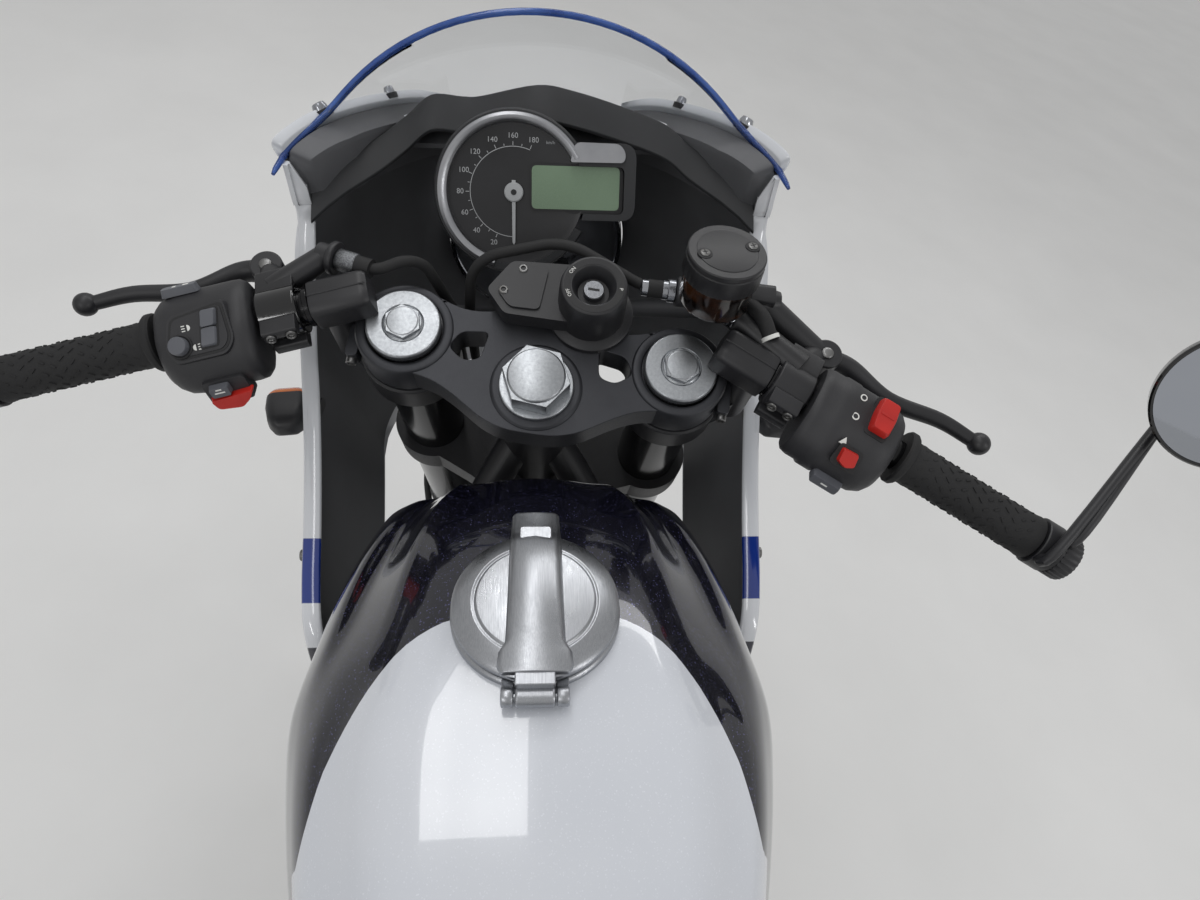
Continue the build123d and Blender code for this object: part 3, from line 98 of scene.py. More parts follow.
def facing(origin, z, x=(1, 0, 0)):
    """A place at origin whose local Z runs along z, and local X as near x as that allows."""
    z = Vector(z).normalized()
    y = z.cross(Vector(x)).normalized()
    return Matrix.Translation(origin) @ Matrix((y.cross(z), y, z)).transposed().to_4x4()


def side_place(x, z, y):
    """A place on the left (y above 0) or right flank, with local Z outwards."""
    return facing((x, y, z), (0, 1 if y > 0 else -1, 0))


def around(radius, angle, high=0.0):
    """A point at this angle round local Z."""
    return radius * cos(angle), radius * sin(angle), high


def coil(radius, turns, low, high, steps):
    """Points on a coil round local Z."""
    return [around(radius, 2 * pi * turns * i / steps, low + (high - low) * i / steps) for i in range(steps + 1)]


def smooth_line(points, per_run=8):
    """Points on a rounded line through the given ones."""
    points = [Vector(p) for p in points]
    ends = [points[0] * 2 - points[1], *points, points[-1] * 2 - points[-2]]
    line = []
    for a, b, c, d in zip(ends, ends[1:], ends[2:], ends[3:]):
        for step in range(per_run):
            t = step / per_run
            line.append(
                0.5 * (2 * b + (c - a) * t + (2 * a - 5 * b + 4 * c - d) * t**2 + (3 * b - a - 3 * c + d) * t**3)
            )
    return [*line, points[-1]]


def rounded(outline, radius, steps=4):
    """A flat outline with its corners rounded. radius is one number, or one for each corner."""
    count = len(outline)
    radii = radius if isinstance(radius, (list, tuple)) else [radius] * count
    made = []
    for index, (spot, bend) in enumerate(zip(outline, radii)):
        spot = Vector(spot)
        before = Vector(outline[index - 1]) - spot
        after = Vector(outline[(index + 1) % count]) - spot
        reach = min(bend, before.length * 0.49, after.length * 0.49)
        if reach < 0.01:
            made.append(tuple(spot))
            continue
        start, stop = spot + before.normalized() * reach, spot + after.normalized() * reach
        for step in range(steps + 1):
            t = step / steps
            made.append(tuple(start * (1 - t) ** 2 + spot * 2 * t * (1 - t) + stop * t**2))
    return made


def ring(radius, steps=32, x=0.0, y=0.0, start=0.0, sweep=2 * pi):
    """Points on a flat circle, or on an arc of it."""
    whole = abs(sweep - 2 * pi) < 1e-6
    angles = [start + sweep * i / steps for i in range(steps if whole else steps + 1)]
    return [(x + radius * cos(angle), y + radius * sin(angle)) for angle in angles]


def hexagon(radius):
    return ring(radius, 6)


def rectangle(wide, high, x=0.0, y=0.0, corner=0.0, steps=3):
    w, h = wide / 2, high / 2
    box = [(x - w, y - h), (x + w, y - h), (x + w, y + h), (x - w, y + h)]
    return rounded(box, corner, steps) if corner else box


def bands(rows, count, closed):
    """The faces between rings of as many points each."""
    faces = []
    for i in range(rows if closed else rows - 1):
        a, b = i * count, (i + 1) % rows * count
        faces += [(a + j, a + (j + 1) % count, b + (j + 1) % count, b + j) for j in range(count)]
    return faces


class Piece:
    """A mesh drawn in one of the bike's spaces, in one or more paints."""

    def __init__(self, name, where, body, slot, *paints):
        self.name, self.where, self.body, self.slot, self.paints = name, where, body, slot, paints
        self.mesh = bmesh.new()
        self.at = HERE
        self.paint = 0

    def now(self, paint, place):
        """What is drawn from here on has this paint and this place."""
        self.paint, self.at = paint, place

    def add(self, points, faces):
        made = [self.mesh.verts.new(self.at @ Vector(p)) for p in points]
        for corners in faces:
            self.mesh.faces.new([made[i] for i in corners]).material_index = self.paint

    def loft(self, rings, closed=False):
        """A skin through rings of as many points each, with flat ends or joined end to end."""
        count, rows = len(rings[0]), len(rings)
        faces = bands(rows, count, closed)
        if not closed:
            faces += [tuple(reversed(range(count))), tuple(range((rows - 1) * count, rows * count))]
        self.add([p for one in rings for p in one], faces)

    def stages(self, outline, steps):
        """A skin through the outline drawn at each (height, share) of the steps."""
        self.loft([[(x * share, y * share, high) for x, y in outline] for high, share in steps])

    def sheet(self, rows):
        """An open skin through rows of as many points each."""
        count = len(rows[0])
        faces = [
            (i * count + j, i * count + j + 1, (i + 1) * count + j + 1, (i + 1) * count + j)
            for i in range(len(rows) - 1)
            for j in range(count - 1)
        ]
        self.add([p for row in rows for p in row], faces)

    def prism(self, outline, low, high, top_shrink=0.0):
        """An upright slab of this flat outline, with its top drawn in by a share where asked."""
        middle = Vector((sum(p[0] for p in outline), sum(p[1] for p in outline))) / len(outline)
        upper = [middle + (Vector(p) - middle) * (1 - top_shrink) for p in outline]
        self.loft([[(x, y, low) for x, y in outline], [(p.x, p.y, high) for p in upper]])

    def lathe(self, profile, steps=48, closed=False):
        """A turned form round local Z from (radius, height) points, open or closed on itself."""
        rows = [(r, h) for r, h in profile if r > 0]
        points = [around(r, 2 * pi * i / steps, h) for r, h in rows for i in range(steps)]
        faces = bands(len(rows), steps, closed)
        last = (len(rows) - 1) * steps
        if not closed:
            for (r, h), base, flip in ((profile[0], 0, True), (profile[-1], last, False)):
                if r > 0:
                    cap = [tuple(range(base, base + steps))]
                else:
                    points.append((0, 0, h))
                    cap = [(len(points) - 1, base + j, base + (j + 1) % steps) for j in range(steps)]
                faces += [tuple(reversed(face)) if flip else face for face in cap]
        self.add(points, faces)

    def tube(self, line, radius, steps=16, flat=1.0):
        """A round bar along points; radius is one number or one for each point."""
        line = [Vector(p) for p in line]
        radii = radius if isinstance(radius, (list, tuple)) else [radius] * len(line)
        side, rings = None, []
        for index, (spot, size) in enumerate(zip(line, radii)):
            ahead = (line[min(index + 1, len(line) - 1)] - line[max(index - 1, 0)]).normalized()
            if side is None:
                side = ahead.orthogonal().normalized()
            side = (side - ahead * side.dot(ahead)).normalized()
            up = ahead.cross(side)
            angles = [2 * pi * i / steps for i in range(steps)]
            rings.append([spot + side * size * cos(angle) + up * size * flat * sin(angle) for angle in angles])
        self.loft(rings)

    def box(self, centre, size, corner=0.0):
        x, y, z = centre
        self.prism(rectangle(size[0], size[1], x, y, corner), z - size[2] / 2, z + size[2] / 2)

    def ball(self, centre, radius, steps=16):
        keep, self.at = self.at, self.at @ Matrix.Translation(centre)
        self.lathe([(radius * sin(pi * i / steps), -radius * cos(pi * i / steps)) for i in range(steps + 1)], 2 * steps)
        self.at = keep

    def done(self, bevel=0.0, smooth=35.0, replaces=(), segments=2):
        """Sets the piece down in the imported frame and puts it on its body. The bevel is in millimetres."""
        bmesh.ops.remove_doubles(self.mesh, verts=self.mesh.verts, dist=0.02)
        bmesh.ops.dissolve_degenerate(self.mesh, edges=self.mesh.edges, dist=0.01)
        bmesh.ops.recalc_face_normals(self.mesh, faces=self.mesh.faces)
        data = bpy.data.meshes.new(self.name)
        self.mesh.to_mesh(data)
        self.mesh.free()
        data.transform(self.where)
        thing = bpy.data.objects.new(self.name, data)
        bpy.context.scene.collection.objects.link(thing)
        for paint in self.paints:
            data.materials.append(paint)
        if bevel:
            edge = thing.modifiers.new("edges", "BEVEL")
            edge.width, edge.segments, edge.limit_method = bevel * MM, segments, "ANGLE"
            edge.angle_limit = radians(smooth)
        data.shade_smooth()
        data.set_sharp_from_angle(angle=radians(smooth))
        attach(thing, self.body)
        if replaces:
            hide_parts(*replaces)
        return thing


def fork_piece(name, slot, *paints):
    return Piece(name, FORK, "steering", slot, *paints)


def bike_piece(name, slot, *paints):
    return Piece(name, BIKE, "chassis", slot, *paints)


# Paints
COAT = {"Coat_Weight": 0.8, "Coat_Roughness": 0.05}


def colour_of(value):
    """Red, green and blue as the eye names them, 0 to 255, as linear light. Anything else stays as it is."""
    if not isinstance(value, tuple) or len(value) != 3:
        return value
    shares = [level / 255 for level in value]
    return (*(s / 12.92 if s <= 0.04045 else ((s + 0.055) / 1.055) ** 2.4 for s in shares), 1.0)


class Paint:
    """A material whose colour, gloss and grain come from noise."""

    def __init__(self, name, **sockets):
        self.material = bpy.data.materials.new(name)
        self.material.use_nodes = True
        self.tree = self.material.node_tree
        self.shader = self.tree.nodes["Principled BSDF"]
        for socket, value in sockets.items():
            self.shader.inputs[socket.replace("_", " ")].default_value = value

    def node(self, kind, links=None, **settings):
        made = self.tree.nodes.new("ShaderNode" + kind)
        for setting, value in settings.items():
            setattr(made, setting, value)
        for socket, value in (links or {}).items():
            if hasattr(value, "is_output"):
                self.tree.links.new(value, made.inputs[socket])
            else:
                made.inputs[socket].default_value = value
        return made

    def place(self, stretch=(1, 1, 1)):
        """The point on the surface, in metres, stretched along the axes."""
        spot = self.node("TexCoord").outputs["Object"]
        return self.node("Mapping", {"Vector": spot, "Scale": stretch}).outputs[0]

    def noise(self, scale, detail=3.0, stretch=(1, 1, 1), rough=0.55):
        return self.node(
            "TexNoise", {"Vector": self.place(stretch), "Scale": scale, "Detail": detail, "Roughness": rough}
        ).outputs[0]

    def between(self, value, low, high, from_low=0.3, from_high=0.7):
        range_ends = {"From Min": from_low, "From Max": from_high, "To Min": low, "To Max": high}
        return self.node("MapRange", {"Value": value, **range_ends}).outputs[0]

    def mix(self, share, first, second):
        """One colour into another; each is an output, or red, green and blue from 0 to 255."""
        colours = {0: share, 6: colour_of(first), 7: colour_of(second)}
        return self.node("Mix", colours, data_type="RGBA").outputs[2]

    def join(self, output, socket):
        self.tree.links.new(output, self.shader.inputs[socket])

    def colour(self, share, first, second):
        self.join(self.mix(share, first, second), "Base Color")

    def rough(self, value, low, high, *ends):
        self.join(self.between(value, low, high, *ends), "Roughness")

    def sum(self, first, second):
        return self.node("Math", {0: first, 1: second}, operation="ADD").outputs[0]

    def bump(self, height, distance, strength=1.0):
        made = self.node("Bump", {"Height": height, "Distance": distance, "Strength": strength})
        self.join(made.outputs[0], "Normal")


def plain(name, colour, other, rough, rough_to, cloud=18.0, grain=900.0, depth=0.00008, stretch=(1, 1, 1), **sockets):
    """A paint with slow variation of colour and gloss, and a fine grain."""
    made = Paint(name, **sockets)
    slow = made.noise(cloud, 4.0)
    made.colour(made.between(slow, 0, 1), colour, other)
    fine = made.noise(grain, 2.0, stretch)
    made.rough(made.sum(slow, fine), rough, rough_to, 0.7, 1.3)
    made.bump(fine, depth)
    return made.material


def dress(paint, *names):
    """Gives CAD nodes this paint."""
    for name in names:
        data = nodes[name].data
        data.materials.clear()
        data.materials.append(paint)
        data.shade_smooth()
        data.set_sharp_from_angle(angle=radians(30))


satin_black = plain("satin_black", (30, 30, 32), (42, 42, 45), 0.36, 0.5, 14, 1400, 0.00003)
cast_black = plain("cast_black", (34, 34, 36), (48, 48, 51), 0.42, 0.6, 20, 700, 0.00012)
gloss_black = plain(
    "gloss_black", (9, 9, 10), (16, 16, 18), 0.06, 0.14, 8, 300, 0.000008,
    Coat_Weight=0.6, Coat_Roughness=0.04,
)
tube_black = plain("tube_black", (10, 10, 12), (18, 18, 21), 0.1, 0.2, 10, 500, 0.00001, (1, 1, 6), Metallic=0.3)
machine_grey = plain("machine_grey", (52, 53, 57), (66, 67, 71), 0.4, 0.54, 22, 1100, 0.00006, Metallic=0.55)
grained = plain("grained_plastic", (33, 34, 36), (46, 47, 50), 0.48, 0.66, 12, 2200, 0.00014)
# The liner's black plastic, painted a lighter grey to stand in for light that doesn't reach it in the fairing's shade
liner_painted_light = plain("liner_plastic_painted_light", (84, 85, 88), (98, 99, 102), 0.5, 0.68, 12, 2200, 0.00016)
switch_skin = plain("switch_plastic", (36, 36, 38), (46, 46, 49), 0.42, 0.56, 16, 2600, 0.00009)
rubber = plain("grip_rubber", (22, 22, 23), (34, 34, 35), 0.62, 0.82, 30, 1500, 0.00012)
tyre_rubber = plain("tyre_rubber", (26, 26, 27), (40, 40, 40), 0.7, 0.9, 26, 1100, 0.0002)
bright_steel = plain("bright_steel", (180, 182, 186), (150, 152, 158), 0.14, 0.28, 40, 900, 0.00002, Metallic=1.0)
satin_alloy = plain("satin_alloy", (178, 179, 182), (156, 157, 161), 0.3, 0.42, 30, 1500, 0.00003, Metallic=1.0)
disc_steel = plain("disc_steel", (176, 177, 180), (148, 149, 153), 0.22, 0.38, 60, 1600, 0.00003, Metallic=1.0)
dull_steel = plain("dull_steel", (140, 140, 140), (104, 103, 101), 0.32, 0.5, 50, 1200, 0.00006, Metallic=1.0)
chain_steel = plain("chain_steel", (122, 118, 110), (78, 75, 70), 0.34, 0.55, 90, 900, 0.0001, Metallic=0.9)
pearl_plastic = plain("pearl_plastic", (222, 224, 228), (212, 215, 220), 0.12, 0.2, 9, 500, 0.000006, **COAT)
blue_paint = plain("blue_paint", (20, 62, 178), (16, 50, 150), 0.14, 0.24, 12, 500, 0.000006, **COAT)
red_plastic = plain("red_plastic", (198, 40, 30), (176, 30, 24), 0.34, 0.48, 40, 1800, 0.00005)
red_lens = plain("red_lens", (170, 12, 14), (120, 6, 10), 0.08, 0.16, 30, 500, 0.00003, Coat_Weight=0.5)
amber_lens = plain("amber_lens", (228, 120, 24), (205, 96, 14), 0.12, 0.2, 40, 500, 0.00003, Coat_Weight=0.5)
white_ink = plain("white_ink", (232, 232, 228), (222, 222, 218), 0.5, 0.6, 40, 800, 0.00001)
header_steel = plain("header_steel", (150, 138, 124), (116, 96, 84), 0.26, 0.44, 12, 700, 0.00004, Metallic=1.0)
sleeve_steel = plain(
    "sleeve_steel", (168, 168, 170), (140, 141, 144), 0.28, 0.42, 20, 500, 0.00003, (1, 40, 40),
    Metallic=1.0,
)
reflector = plain("reflector", (214, 216, 220), (196, 198, 204), 0.06, 0.14, 20, 300, 0.00005, Metallic=1.0)
core_black = plain("core_black", (24, 24, 25), (36, 36, 38), 0.5, 0.7, 40, 1400, 0.00012)

# Lamp glass and the screen, faintly uneven
lamp_glass = Paint("lamp_glass", Transmission_Weight=1.0, IOR=1.45)
slow = lamp_glass.noise(6.0, 2.0)
lamp_glass.colour(lamp_glass.between(slow, 0, 1), (0.97, 0.98, 0.99, 1.0), (0.9409, 0.9506, 0.9603, 1.0))
lamp_glass.rough(slow, 0.02, 0.032)
lamp_glass.bump(lamp_glass.noise(300.0, 1.0), 0.000004)
lamp_glass = lamp_glass.material


def brushed(name, light, dark, stretch, rough=0.24, rough_to=0.42):
    """Metal with long fine scratches along one axis."""
    made = Paint(name, Metallic=1.0)
    lines = made.noise(160.0, 4.0, stretch, 0.7)
    slow = made.noise(30.0, 3.0)
    made.colour(made.between(lines, 0, 1), light, dark)
    made.rough(made.sum(slow, lines), rough, rough_to, 0.7, 1.3)
    made.bump(lines, 0.00004)
    return made.material


lid_alloy = brushed("lid_alloy", (184, 186, 189), (154, 156, 161), (0.4, 14, 14))

# Seat leather, with a cell-like grain
leather = Paint("seat_leather", Sheen_Weight=0.15)
slow = leather.noise(14.0, 4.0)
cells = leather.node("TexVoronoi", {"Vector": leather.place(), "Scale": 420.0}).outputs["Distance"]
leather.colour(leather.between(slow, 0, 1), (30, 30, 31), (44, 43, 43))
leather.rough(slow, 0.42, 0.6)
leather.bump(cells, 0.00025, 0.8)
leather = leather.material

dress(tyre_rubber, "front_tyre", "rear_tyre")
dress(cast_black, "front_rim", "rear_rim", "lower_yoke", "fork_sliders", "crankcase", "cylinder", "swingarm")
dress(cast_black, "swingarm_bridge")
dress(disc_steel, "front_disc", "rear_disc")
dress(dull_steel, "rear_sprocket", "front_axle", "rear_axle")
dress(machine_grey, "top_yoke", "engine_covers")
dress(tube_black, "fork_tubes")
dress(satin_alloy, "fork_caps")
dress(satin_black, "ignition_lock", "handlebars", "hand_levers", "frame", "foot_controls", "side_stand")
dress(satin_black, "front_caliper", "rear_caliper")
dress(grained, "front_mudguard", "side_panels", "tail_unit", "instrument_pod", "airbox", "dash_hood")
# The liner's pieces take the black plastic painted lighter grey, as painted light in their shade
dress(liner_painted_light, "fairing_liner", "liner_sides")
dress(rubber, "grips", "clutch_cable", "brake_hose")
dress(switch_skin, "switch_left", "switch_right")
dress(amber_lens, "brake_reservoir", "front_indicators")
dress(gloss_black, "mirrors", "rear_shock", "instrument_face")
dress(core_black, "radiator")
dress(header_steel, "exhaust_header")
dress(sleeve_steel, "silencer")
dress(pearl_plastic, "fuel_tank", "tail_cowl", "fairing_nose", "fairing_sides")
dress(lid_alloy, "filler_ring", "fuel_lid")
dress(leather, "seat")
dress(red_lens, "rear_lamps")
dress(lamp_glass, "headlamp_lens", "windscreen")
dress(reflector, "headlamp")
dress(chain_steel, "drive_chain")


def on_line(pairs, at):
    """The value at this place on a line through (place, value) pairs."""
    if at <= pairs[0][0]:
        return pairs[0][1]
    for (a, low), (b, high) in zip(pairs, pairs[1:]):
        if at <= b:
            return low + (high - low) * (at - a) / (b - a)
    return pairs[-1][1]


# Tank paint: pearl white behind the cap, dark sparkling blue in front and on the flanks
tank_paint = Paint("tank_paint", Coat_Weight=1.0, Coat_Roughness=0.03)
white_share = tank_paint.node("Attribute", attribute_name="white_share").outputs["Fac"]
is_white = tank_paint.between(white_share, 0, 1, -0.25, 0.25)
slow = tank_paint.noise(7.0, 3.0)
flakes = tank_paint.node("TexVoronoi", {"Vector": tank_paint.place(), "Scale": 1500.0}, feature="F1")
flake = tank_paint.node("SeparateColor", {"Color": flakes.outputs["Color"]}).outputs[0]
sparkle = tank_paint.between(flake, 0, 1, 0.93, 1.0)
white = tank_paint.mix(tank_paint.between(slow, 0, 1), (214, 217, 223), (205, 209, 217))
white = tank_paint.mix(sparkle, white, (222, 225, 232))
navy = tank_paint.mix(tank_paint.between(slow, 0, 1), (16, 16, 26), (26, 26, 40))
navy = tank_paint.mix(sparkle, navy, (92, 92, 136))
tank_paint.colour(is_white, navy, white)
tank_paint.rough(slow, 0.14, 0.22)
tank_paint.join(tank_paint.between(is_white, 0.45, 0.0, 0, 1), "Metallic")
tank_paint.bump(flake, 0.000012, 0.6)
tank_paint = tank_paint.material

# Tank sections: place along X, then height of the top and (half width, height) of the ridge, the valley
# beside it, the outer ridge, the widest line, the knee and the lower edge
TANK_ROWS = (
    (1008, 893, (50, 886), (68, 874), (86, 866), (106, 848), (102, 822), (86, 800)),
    (1003, 900, (56, 893), (74, 877), (92, 872), (112, 852), (108, 820), (90, 794)),
    (975, 912, (70, 903), (90, 883), (108, 878), (124, 852), (122, 815), (100, 778)),
    (935, 925, (79, 912), (104, 886), (122, 879), (136, 852), (134, 808), (116, 764)),
    (890, 934, (86, 916), (114, 891), (132, 879), (146, 850), (143, 803), (124, 752)),
    (845, 937, (97, 914), (124, 893), (142, 873), (153, 846), (148, 798), (128, 744)),
    (800, 934, (112, 903), (127, 891), (139, 872), (148, 842), (143, 792), (124, 734)),
    (750, 921, (112, 888), (124, 876), (132, 860), (138, 834), (133, 786), (114, 726)),
    (700, 901, (104, 868), (115, 856), (122, 840), (126, 818), (122, 776), (104, 718)),
    (650, 865, (92, 832), (101, 822), (107, 808), (110, 792), (106, 756), (90, 710)),
    (628, 848, (86, 815), (94, 806), (99, 796), (102, 782), (98, 748), (82, 706)),
)
# The white's front edge as (half width, place along X) and its lower edge as (place along X, height)
WHITE_FRONT = ((0, 872), (50, 867), (60, 862), (72, 855), (83, 846), (95, 831), (106, 812), (116, 792), (128, 752))
WHITE_LOW = ((628, 800), (650, 812), (700, 843), (750, 862), (800, 874), (870, 884))
TUNNEL_SLOPE, TUNNEL_AT_640, TUNNEL_HALF = 0.3036, 706.0, 90.0
CAP = Vector((870.0, 0.0, 938.0))
HOLE_RADIUS, TOP_ABOVE = 36, 900


def tank_ring(row):
    """The points round one section of the tank, from the top line down one side and up the other."""
    x, top, ridge, valley, outer, wide, knee, low = row
    crown = TUNNEL_AT_640 + (x - 640) * TUNNEL_SLOPE
    inner = min(TUNNEL_HALF, low[0] - 5)
    arch = [(0, top), (ridge[0] * 0.36, top - 1.5), (ridge[0] * 0.72, top - 5.5), ridge]
    flank = [ridge, valley, outer, wide, knee, low]
    half = [p.to_2d() for p in smooth_line([(y, z, 0) for y, z in arch], 5)]
    half += [p.to_2d() for p in smooth_line([(y, z, 0) for y, z in flank], 6)][1:]
    floor = max(crown, low[1] + 4)
    half += [Vector((low[0] - 3, low[1] - 2)), Vector((inner, low[1])), Vector((inner - 2, floor)), Vector((0, floor))]
    left = [(x, p.x, p.y) for p in half]
    return left + [(x, -y, z) for x, y, z in reversed(left[1:-1])]


rings = [tank_ring(row) for row in TANK_ROWS]
lines = [smooth_line(points, 7) for points in zip(*rings)]
rings = [list(points) for points in zip(*lines)]
tank = bike_piece("tank", "tank_white", tank_paint)
tank.loft(rings)
middles = [(face, face.calc_center_median()) for face in tank.mesh.faces]
hole = [face for face, middle in middles if (middle - CAP).xy.length < HOLE_RADIUS and middle.z > TOP_ABOVE]
bmesh.ops.delete(tank.mesh, geom=hole, context="FACES")
tank = tank.done(smooth=32, replaces=["fuel_tank"])
share = tank.data.attributes.new("white_share", "FLOAT", "POINT")
to_bike = BIKE.inverted()
for index, vertex in enumerate(tank.data.vertices):
    x, y, z = to_bike @ vertex.co
    share.data[index].value = min(on_line(WHITE_FRONT, abs(y)) - x, z - on_line(WHITE_LOW, x))

# Filler: a base on the tank with its neck and the outer knuckles of the hinge
LID_LOW = 940.0
HINGE = Vector((813.0, 0.0, 944.0))
base = bike_piece("filler_base", "filler_alloy", lid_alloy, core_black)
base.at = moved(CAP.x, 0, 0)
base.lathe(
    [(48.5, 925), (49.5, 933), (49.5, 938.5), (48, LID_LOW), (24, LID_LOW), (20, 938), (20, 926), (40, 925)], 72, True
)
base.paint = 1
base.lathe([(20.5, 930), (21, 906), (12, 903.5), (0, 903.5), (0, 902), (22, 902), (22.5, 930)], 40)
base.now(0, HERE)
for side in SIDES:
    middle = HINGE + Vector((0, side * 15, 0))
    base.at = facing(middle - Vector((0, 3.4, 0)), (0, 1, 0))
    base.lathe([(0, 0), (4.8, 0), (5.4, 0.8), (5.4, 6), (4.8, 6.8), (0, 6.8)], 24)
    base.at = HERE
    base.box((821.5, side * 15, 936.5), (17, 6.8, 7), 1)
base.at = facing(HINGE - Vector((0, 18.6, 0)), (0, 1, 0))
base.lathe([(0, 0), (2.1, 0), (2.1, 37.2), (0, 37.2)], 16)
base.done(bevel=0.5, smooth=40, replaces=["filler_ring"])

# Lid: a dished disc under an arched strap that ends in the hinge's middle knuckle
lid = Piece("lid", BIKE, "fuel_lid", "lid_alloy", lid_alloy, core_black)
lid.at = moved(CAP.x, 0, 0)
lid.lathe(
    [
        (0, 941), (44, 941), (47.6, 941.2), (48.6, 943), (48.6, 945.5), (46.5, 948), (36.4, 951.4), (35.6, 950.6),
        (34.8, 950.9), (34, 952), (20, 953.4), (0, 953.8),
    ],
    96,
)
lid.paint = 1
lid.lathe([(0, 936), (17, 936), (18, 937), (18, 941.5), (0, 941.5)], 32)
lid.now(0, HERE)
# Strap sections: place along X, half width, lower and upper height, and how far the upper edges are rounded
STRAP = (
    (933, 12.5, 944.0, 950.0, 2.0),
    (931, 14.5, 943.2, 950.8, 2.4),
    (917, 15.0, 943.0, 951.6, 2.8),
    (912, 15.2, 944.0, 955.5, 3.4),
    (904, 15.4, 946.0, 959.6, 4.4),
    (886, 15.6, 948.0, 961.8, 5.0),
    (866, 15.8, 948.0, 962.0, 5.0),
    (848, 16.2, 948.0, 960.2, 4.6),
    (840, 16.6, 948.0, 958.4, 4.2),
    (834, 20.0, 949.5, 957.0, 3.2),
    (826, 20.6, 950.5, 955.8, 2.6),
    (822, 18.5, 950.5, 954.8, 2.2),
)
rows = []
for x, half, low, high, edge in STRAP:
    bend = edge * 0.35
    side = [(half, high - edge), (half - bend, high - bend), (half - edge, high)]
    section = [(-half, low), (half, low), *side, (0, high + edge * 0.3), *((-y, z) for y, z in reversed(side))]
    rows.append([(x, y, z) for y, z in section])
lid.loft(rows)
lid.box((911.5, 0, 955.6), (9.5, 19, 5), 2)
lid.at = facing(HINGE - Vector((0, 10.8, 0)), (0, 1, 0))
lid.lathe([(2.3, 0), (5.0, 0), (5.8, 0.9), (5.8, 20.7), (5.0, 21.6), (2.3, 21.6)], 28, True)
lid.at = HERE
lid.prism(rounded([(825, -10.8), (825, 10.8), (815, 10.8), (815, -10.8)], 1), 947.6, 954.2)
lid.done(bevel=0.6, smooth=38, replaces=["fuel_lid"])


# Cockpit, in the fork's space. A bar's own place has X towards the rider, Y up and Z outwards
BAR_START, BAR_END = Vector((46, 119, 20)), Vector((-60, 392, -18))
LEFT_BAR = facing(BAR_START, BAR_END - BAR_START, (-1, 0, 0))
ACROSS = Matrix.Diagonal((1, -1, 1, 1))
BARS = {1: LEFT_BAR, -1: ACROSS @ LEFT_BAR}
turned_alloy = brushed("turned_alloy", (178, 181, 184), (154, 157, 161), (3, 3, 3), 0.3, 0.42)
knurled = plain("knurled_steel", (150, 152, 154), (84, 86, 90), 0.25, 0.45, 900, 2600, 0.0003, Metallic=1.0)
grey_key = plain("grey_key", (98, 100, 106), (86, 88, 94), 0.4, 0.52, 30, 2000, 0.00004)
smoked_amber = Paint("smoked_amber", Coat_Weight=0.6, Coat_Roughness=0.04)
cloud = smoked_amber.noise(34.0, 2.0, (1, 1, 3))
smoked_amber.colour(smoked_amber.between(cloud, 0, 1, 0.45, 0.72), (14, 9, 7), (66, 36, 12))
smoked_amber.rough(cloud, 0.1, 0.2)
smoked_amber.bump(smoked_amber.noise(300.0, 1.0), 0.00002)
smoked_amber = smoked_amber.material
mirror_glass = plain("mirror_glass", (190, 194, 200), (182, 186, 194), 0.02, 0.04, 6, 200, 0.000002, Metallic=1.0)


def bolt(piece, place, radius=4.0, high=3.0, hollow=True):
    """A cap screw that stands up local Z at this place, with its socket."""
    keep, piece.at = piece.at, piece.at @ place
    profile = [(0, -1), (radius, -1), (radius, high - 0.6), (radius - 0.6, high)]
    if hollow:
        profile += [(radius * 0.56, high), (radius * 0.5, high - radius * 0.5), (0, high - radius * 0.5)]
    else:
        profile += [(radius * 0.5, high + 0.4), (0, high + 0.5)]
    piece.lathe(profile, 12 if hollow else 20)
    piece.at = keep


def hex_head(piece, flats, low, high, dome=1.0):
    """A six-sided head with a turned, domed top."""
    piece.prism(hexagon(flats / sqrt(3)), low, high)
    edge = flats / 2 * 0.98
    top = high + dome
    piece.lathe([(edge, high - 0.2), (edge * 0.94, top - dome * 0.5), (edge * 0.5, top), (0, top + dome * 0.1)], 40)


def pierced(piece, outline, holes, low, high):
    """An upright slab with holes through it."""
    edges = []
    for path in (outline, *holes):
        made = [piece.mesh.verts.new(piece.at @ Vector((x, y, low))) for x, y in path]
        edges += [piece.mesh.edges.new((made[i - 1], made[i])) for i in range(len(made))]
    faces = bmesh.ops.triangle_fill(piece.mesh, edges=edges, use_beauty=True)["geom"]
    faces = [face for face in faces if isinstance(face, bmesh.types.BMFace)]
    for face in faces:
        face.material_index = piece.paint
    raised = bmesh.ops.extrude_face_region(piece.mesh, geom=faces, use_keep_orig=True)["geom"]
    raised = [vertex for vertex in raised if isinstance(vertex, bmesh.types.BMVert)]
    bmesh.ops.translate(piece.mesh, verts=raised, vec=piece.at.to_3x3() @ Vector((0, 0, high - low)))


def letters(piece, words, size, place, thick=0.12):
    """Raised figures, centred at a place whose X runs along the line."""
    curve = bpy.data.curves.new("figures", "FONT")
    curve.body, curve.size, curve.extrude = words, size, thick
    curve.resolution_u = 3
    curve.align_x, curve.align_y = "CENTER", "CENTER"
    shape = bpy.data.objects.new("figures", curve)
    mesh = shape.to_mesh()
    keep, piece.at = piece.at, piece.at @ place
    piece.add([v.co for v in mesh.vertices], [tuple(p.vertices) for p in mesh.polygons])
    piece.at = keep
    shape.to_mesh_clear()
    bpy.data.objects.remove(shape)


def shrinking(piece, outline, steps, bend, bend_steps):
    """A raised form whose outline depends on how far it is drawn in, through (drawn in, height) steps."""
    piece.loft([[(x, y, z) for x, y in rounded(outline(inset), bend, bend_steps)] for inset, z in steps])


def ridged(piece, ridges, radius, edge, steps):
    """A round skin with ridges along it, through (height, drawn in) steps."""
    waves = [(pi * i / ridges, radius + (edge if i % 2 else 0)) for i in range(2 * ridges)]
    piece.loft([[around(r - inset, angle, high) for angle, r in waves] for high, inset in steps])


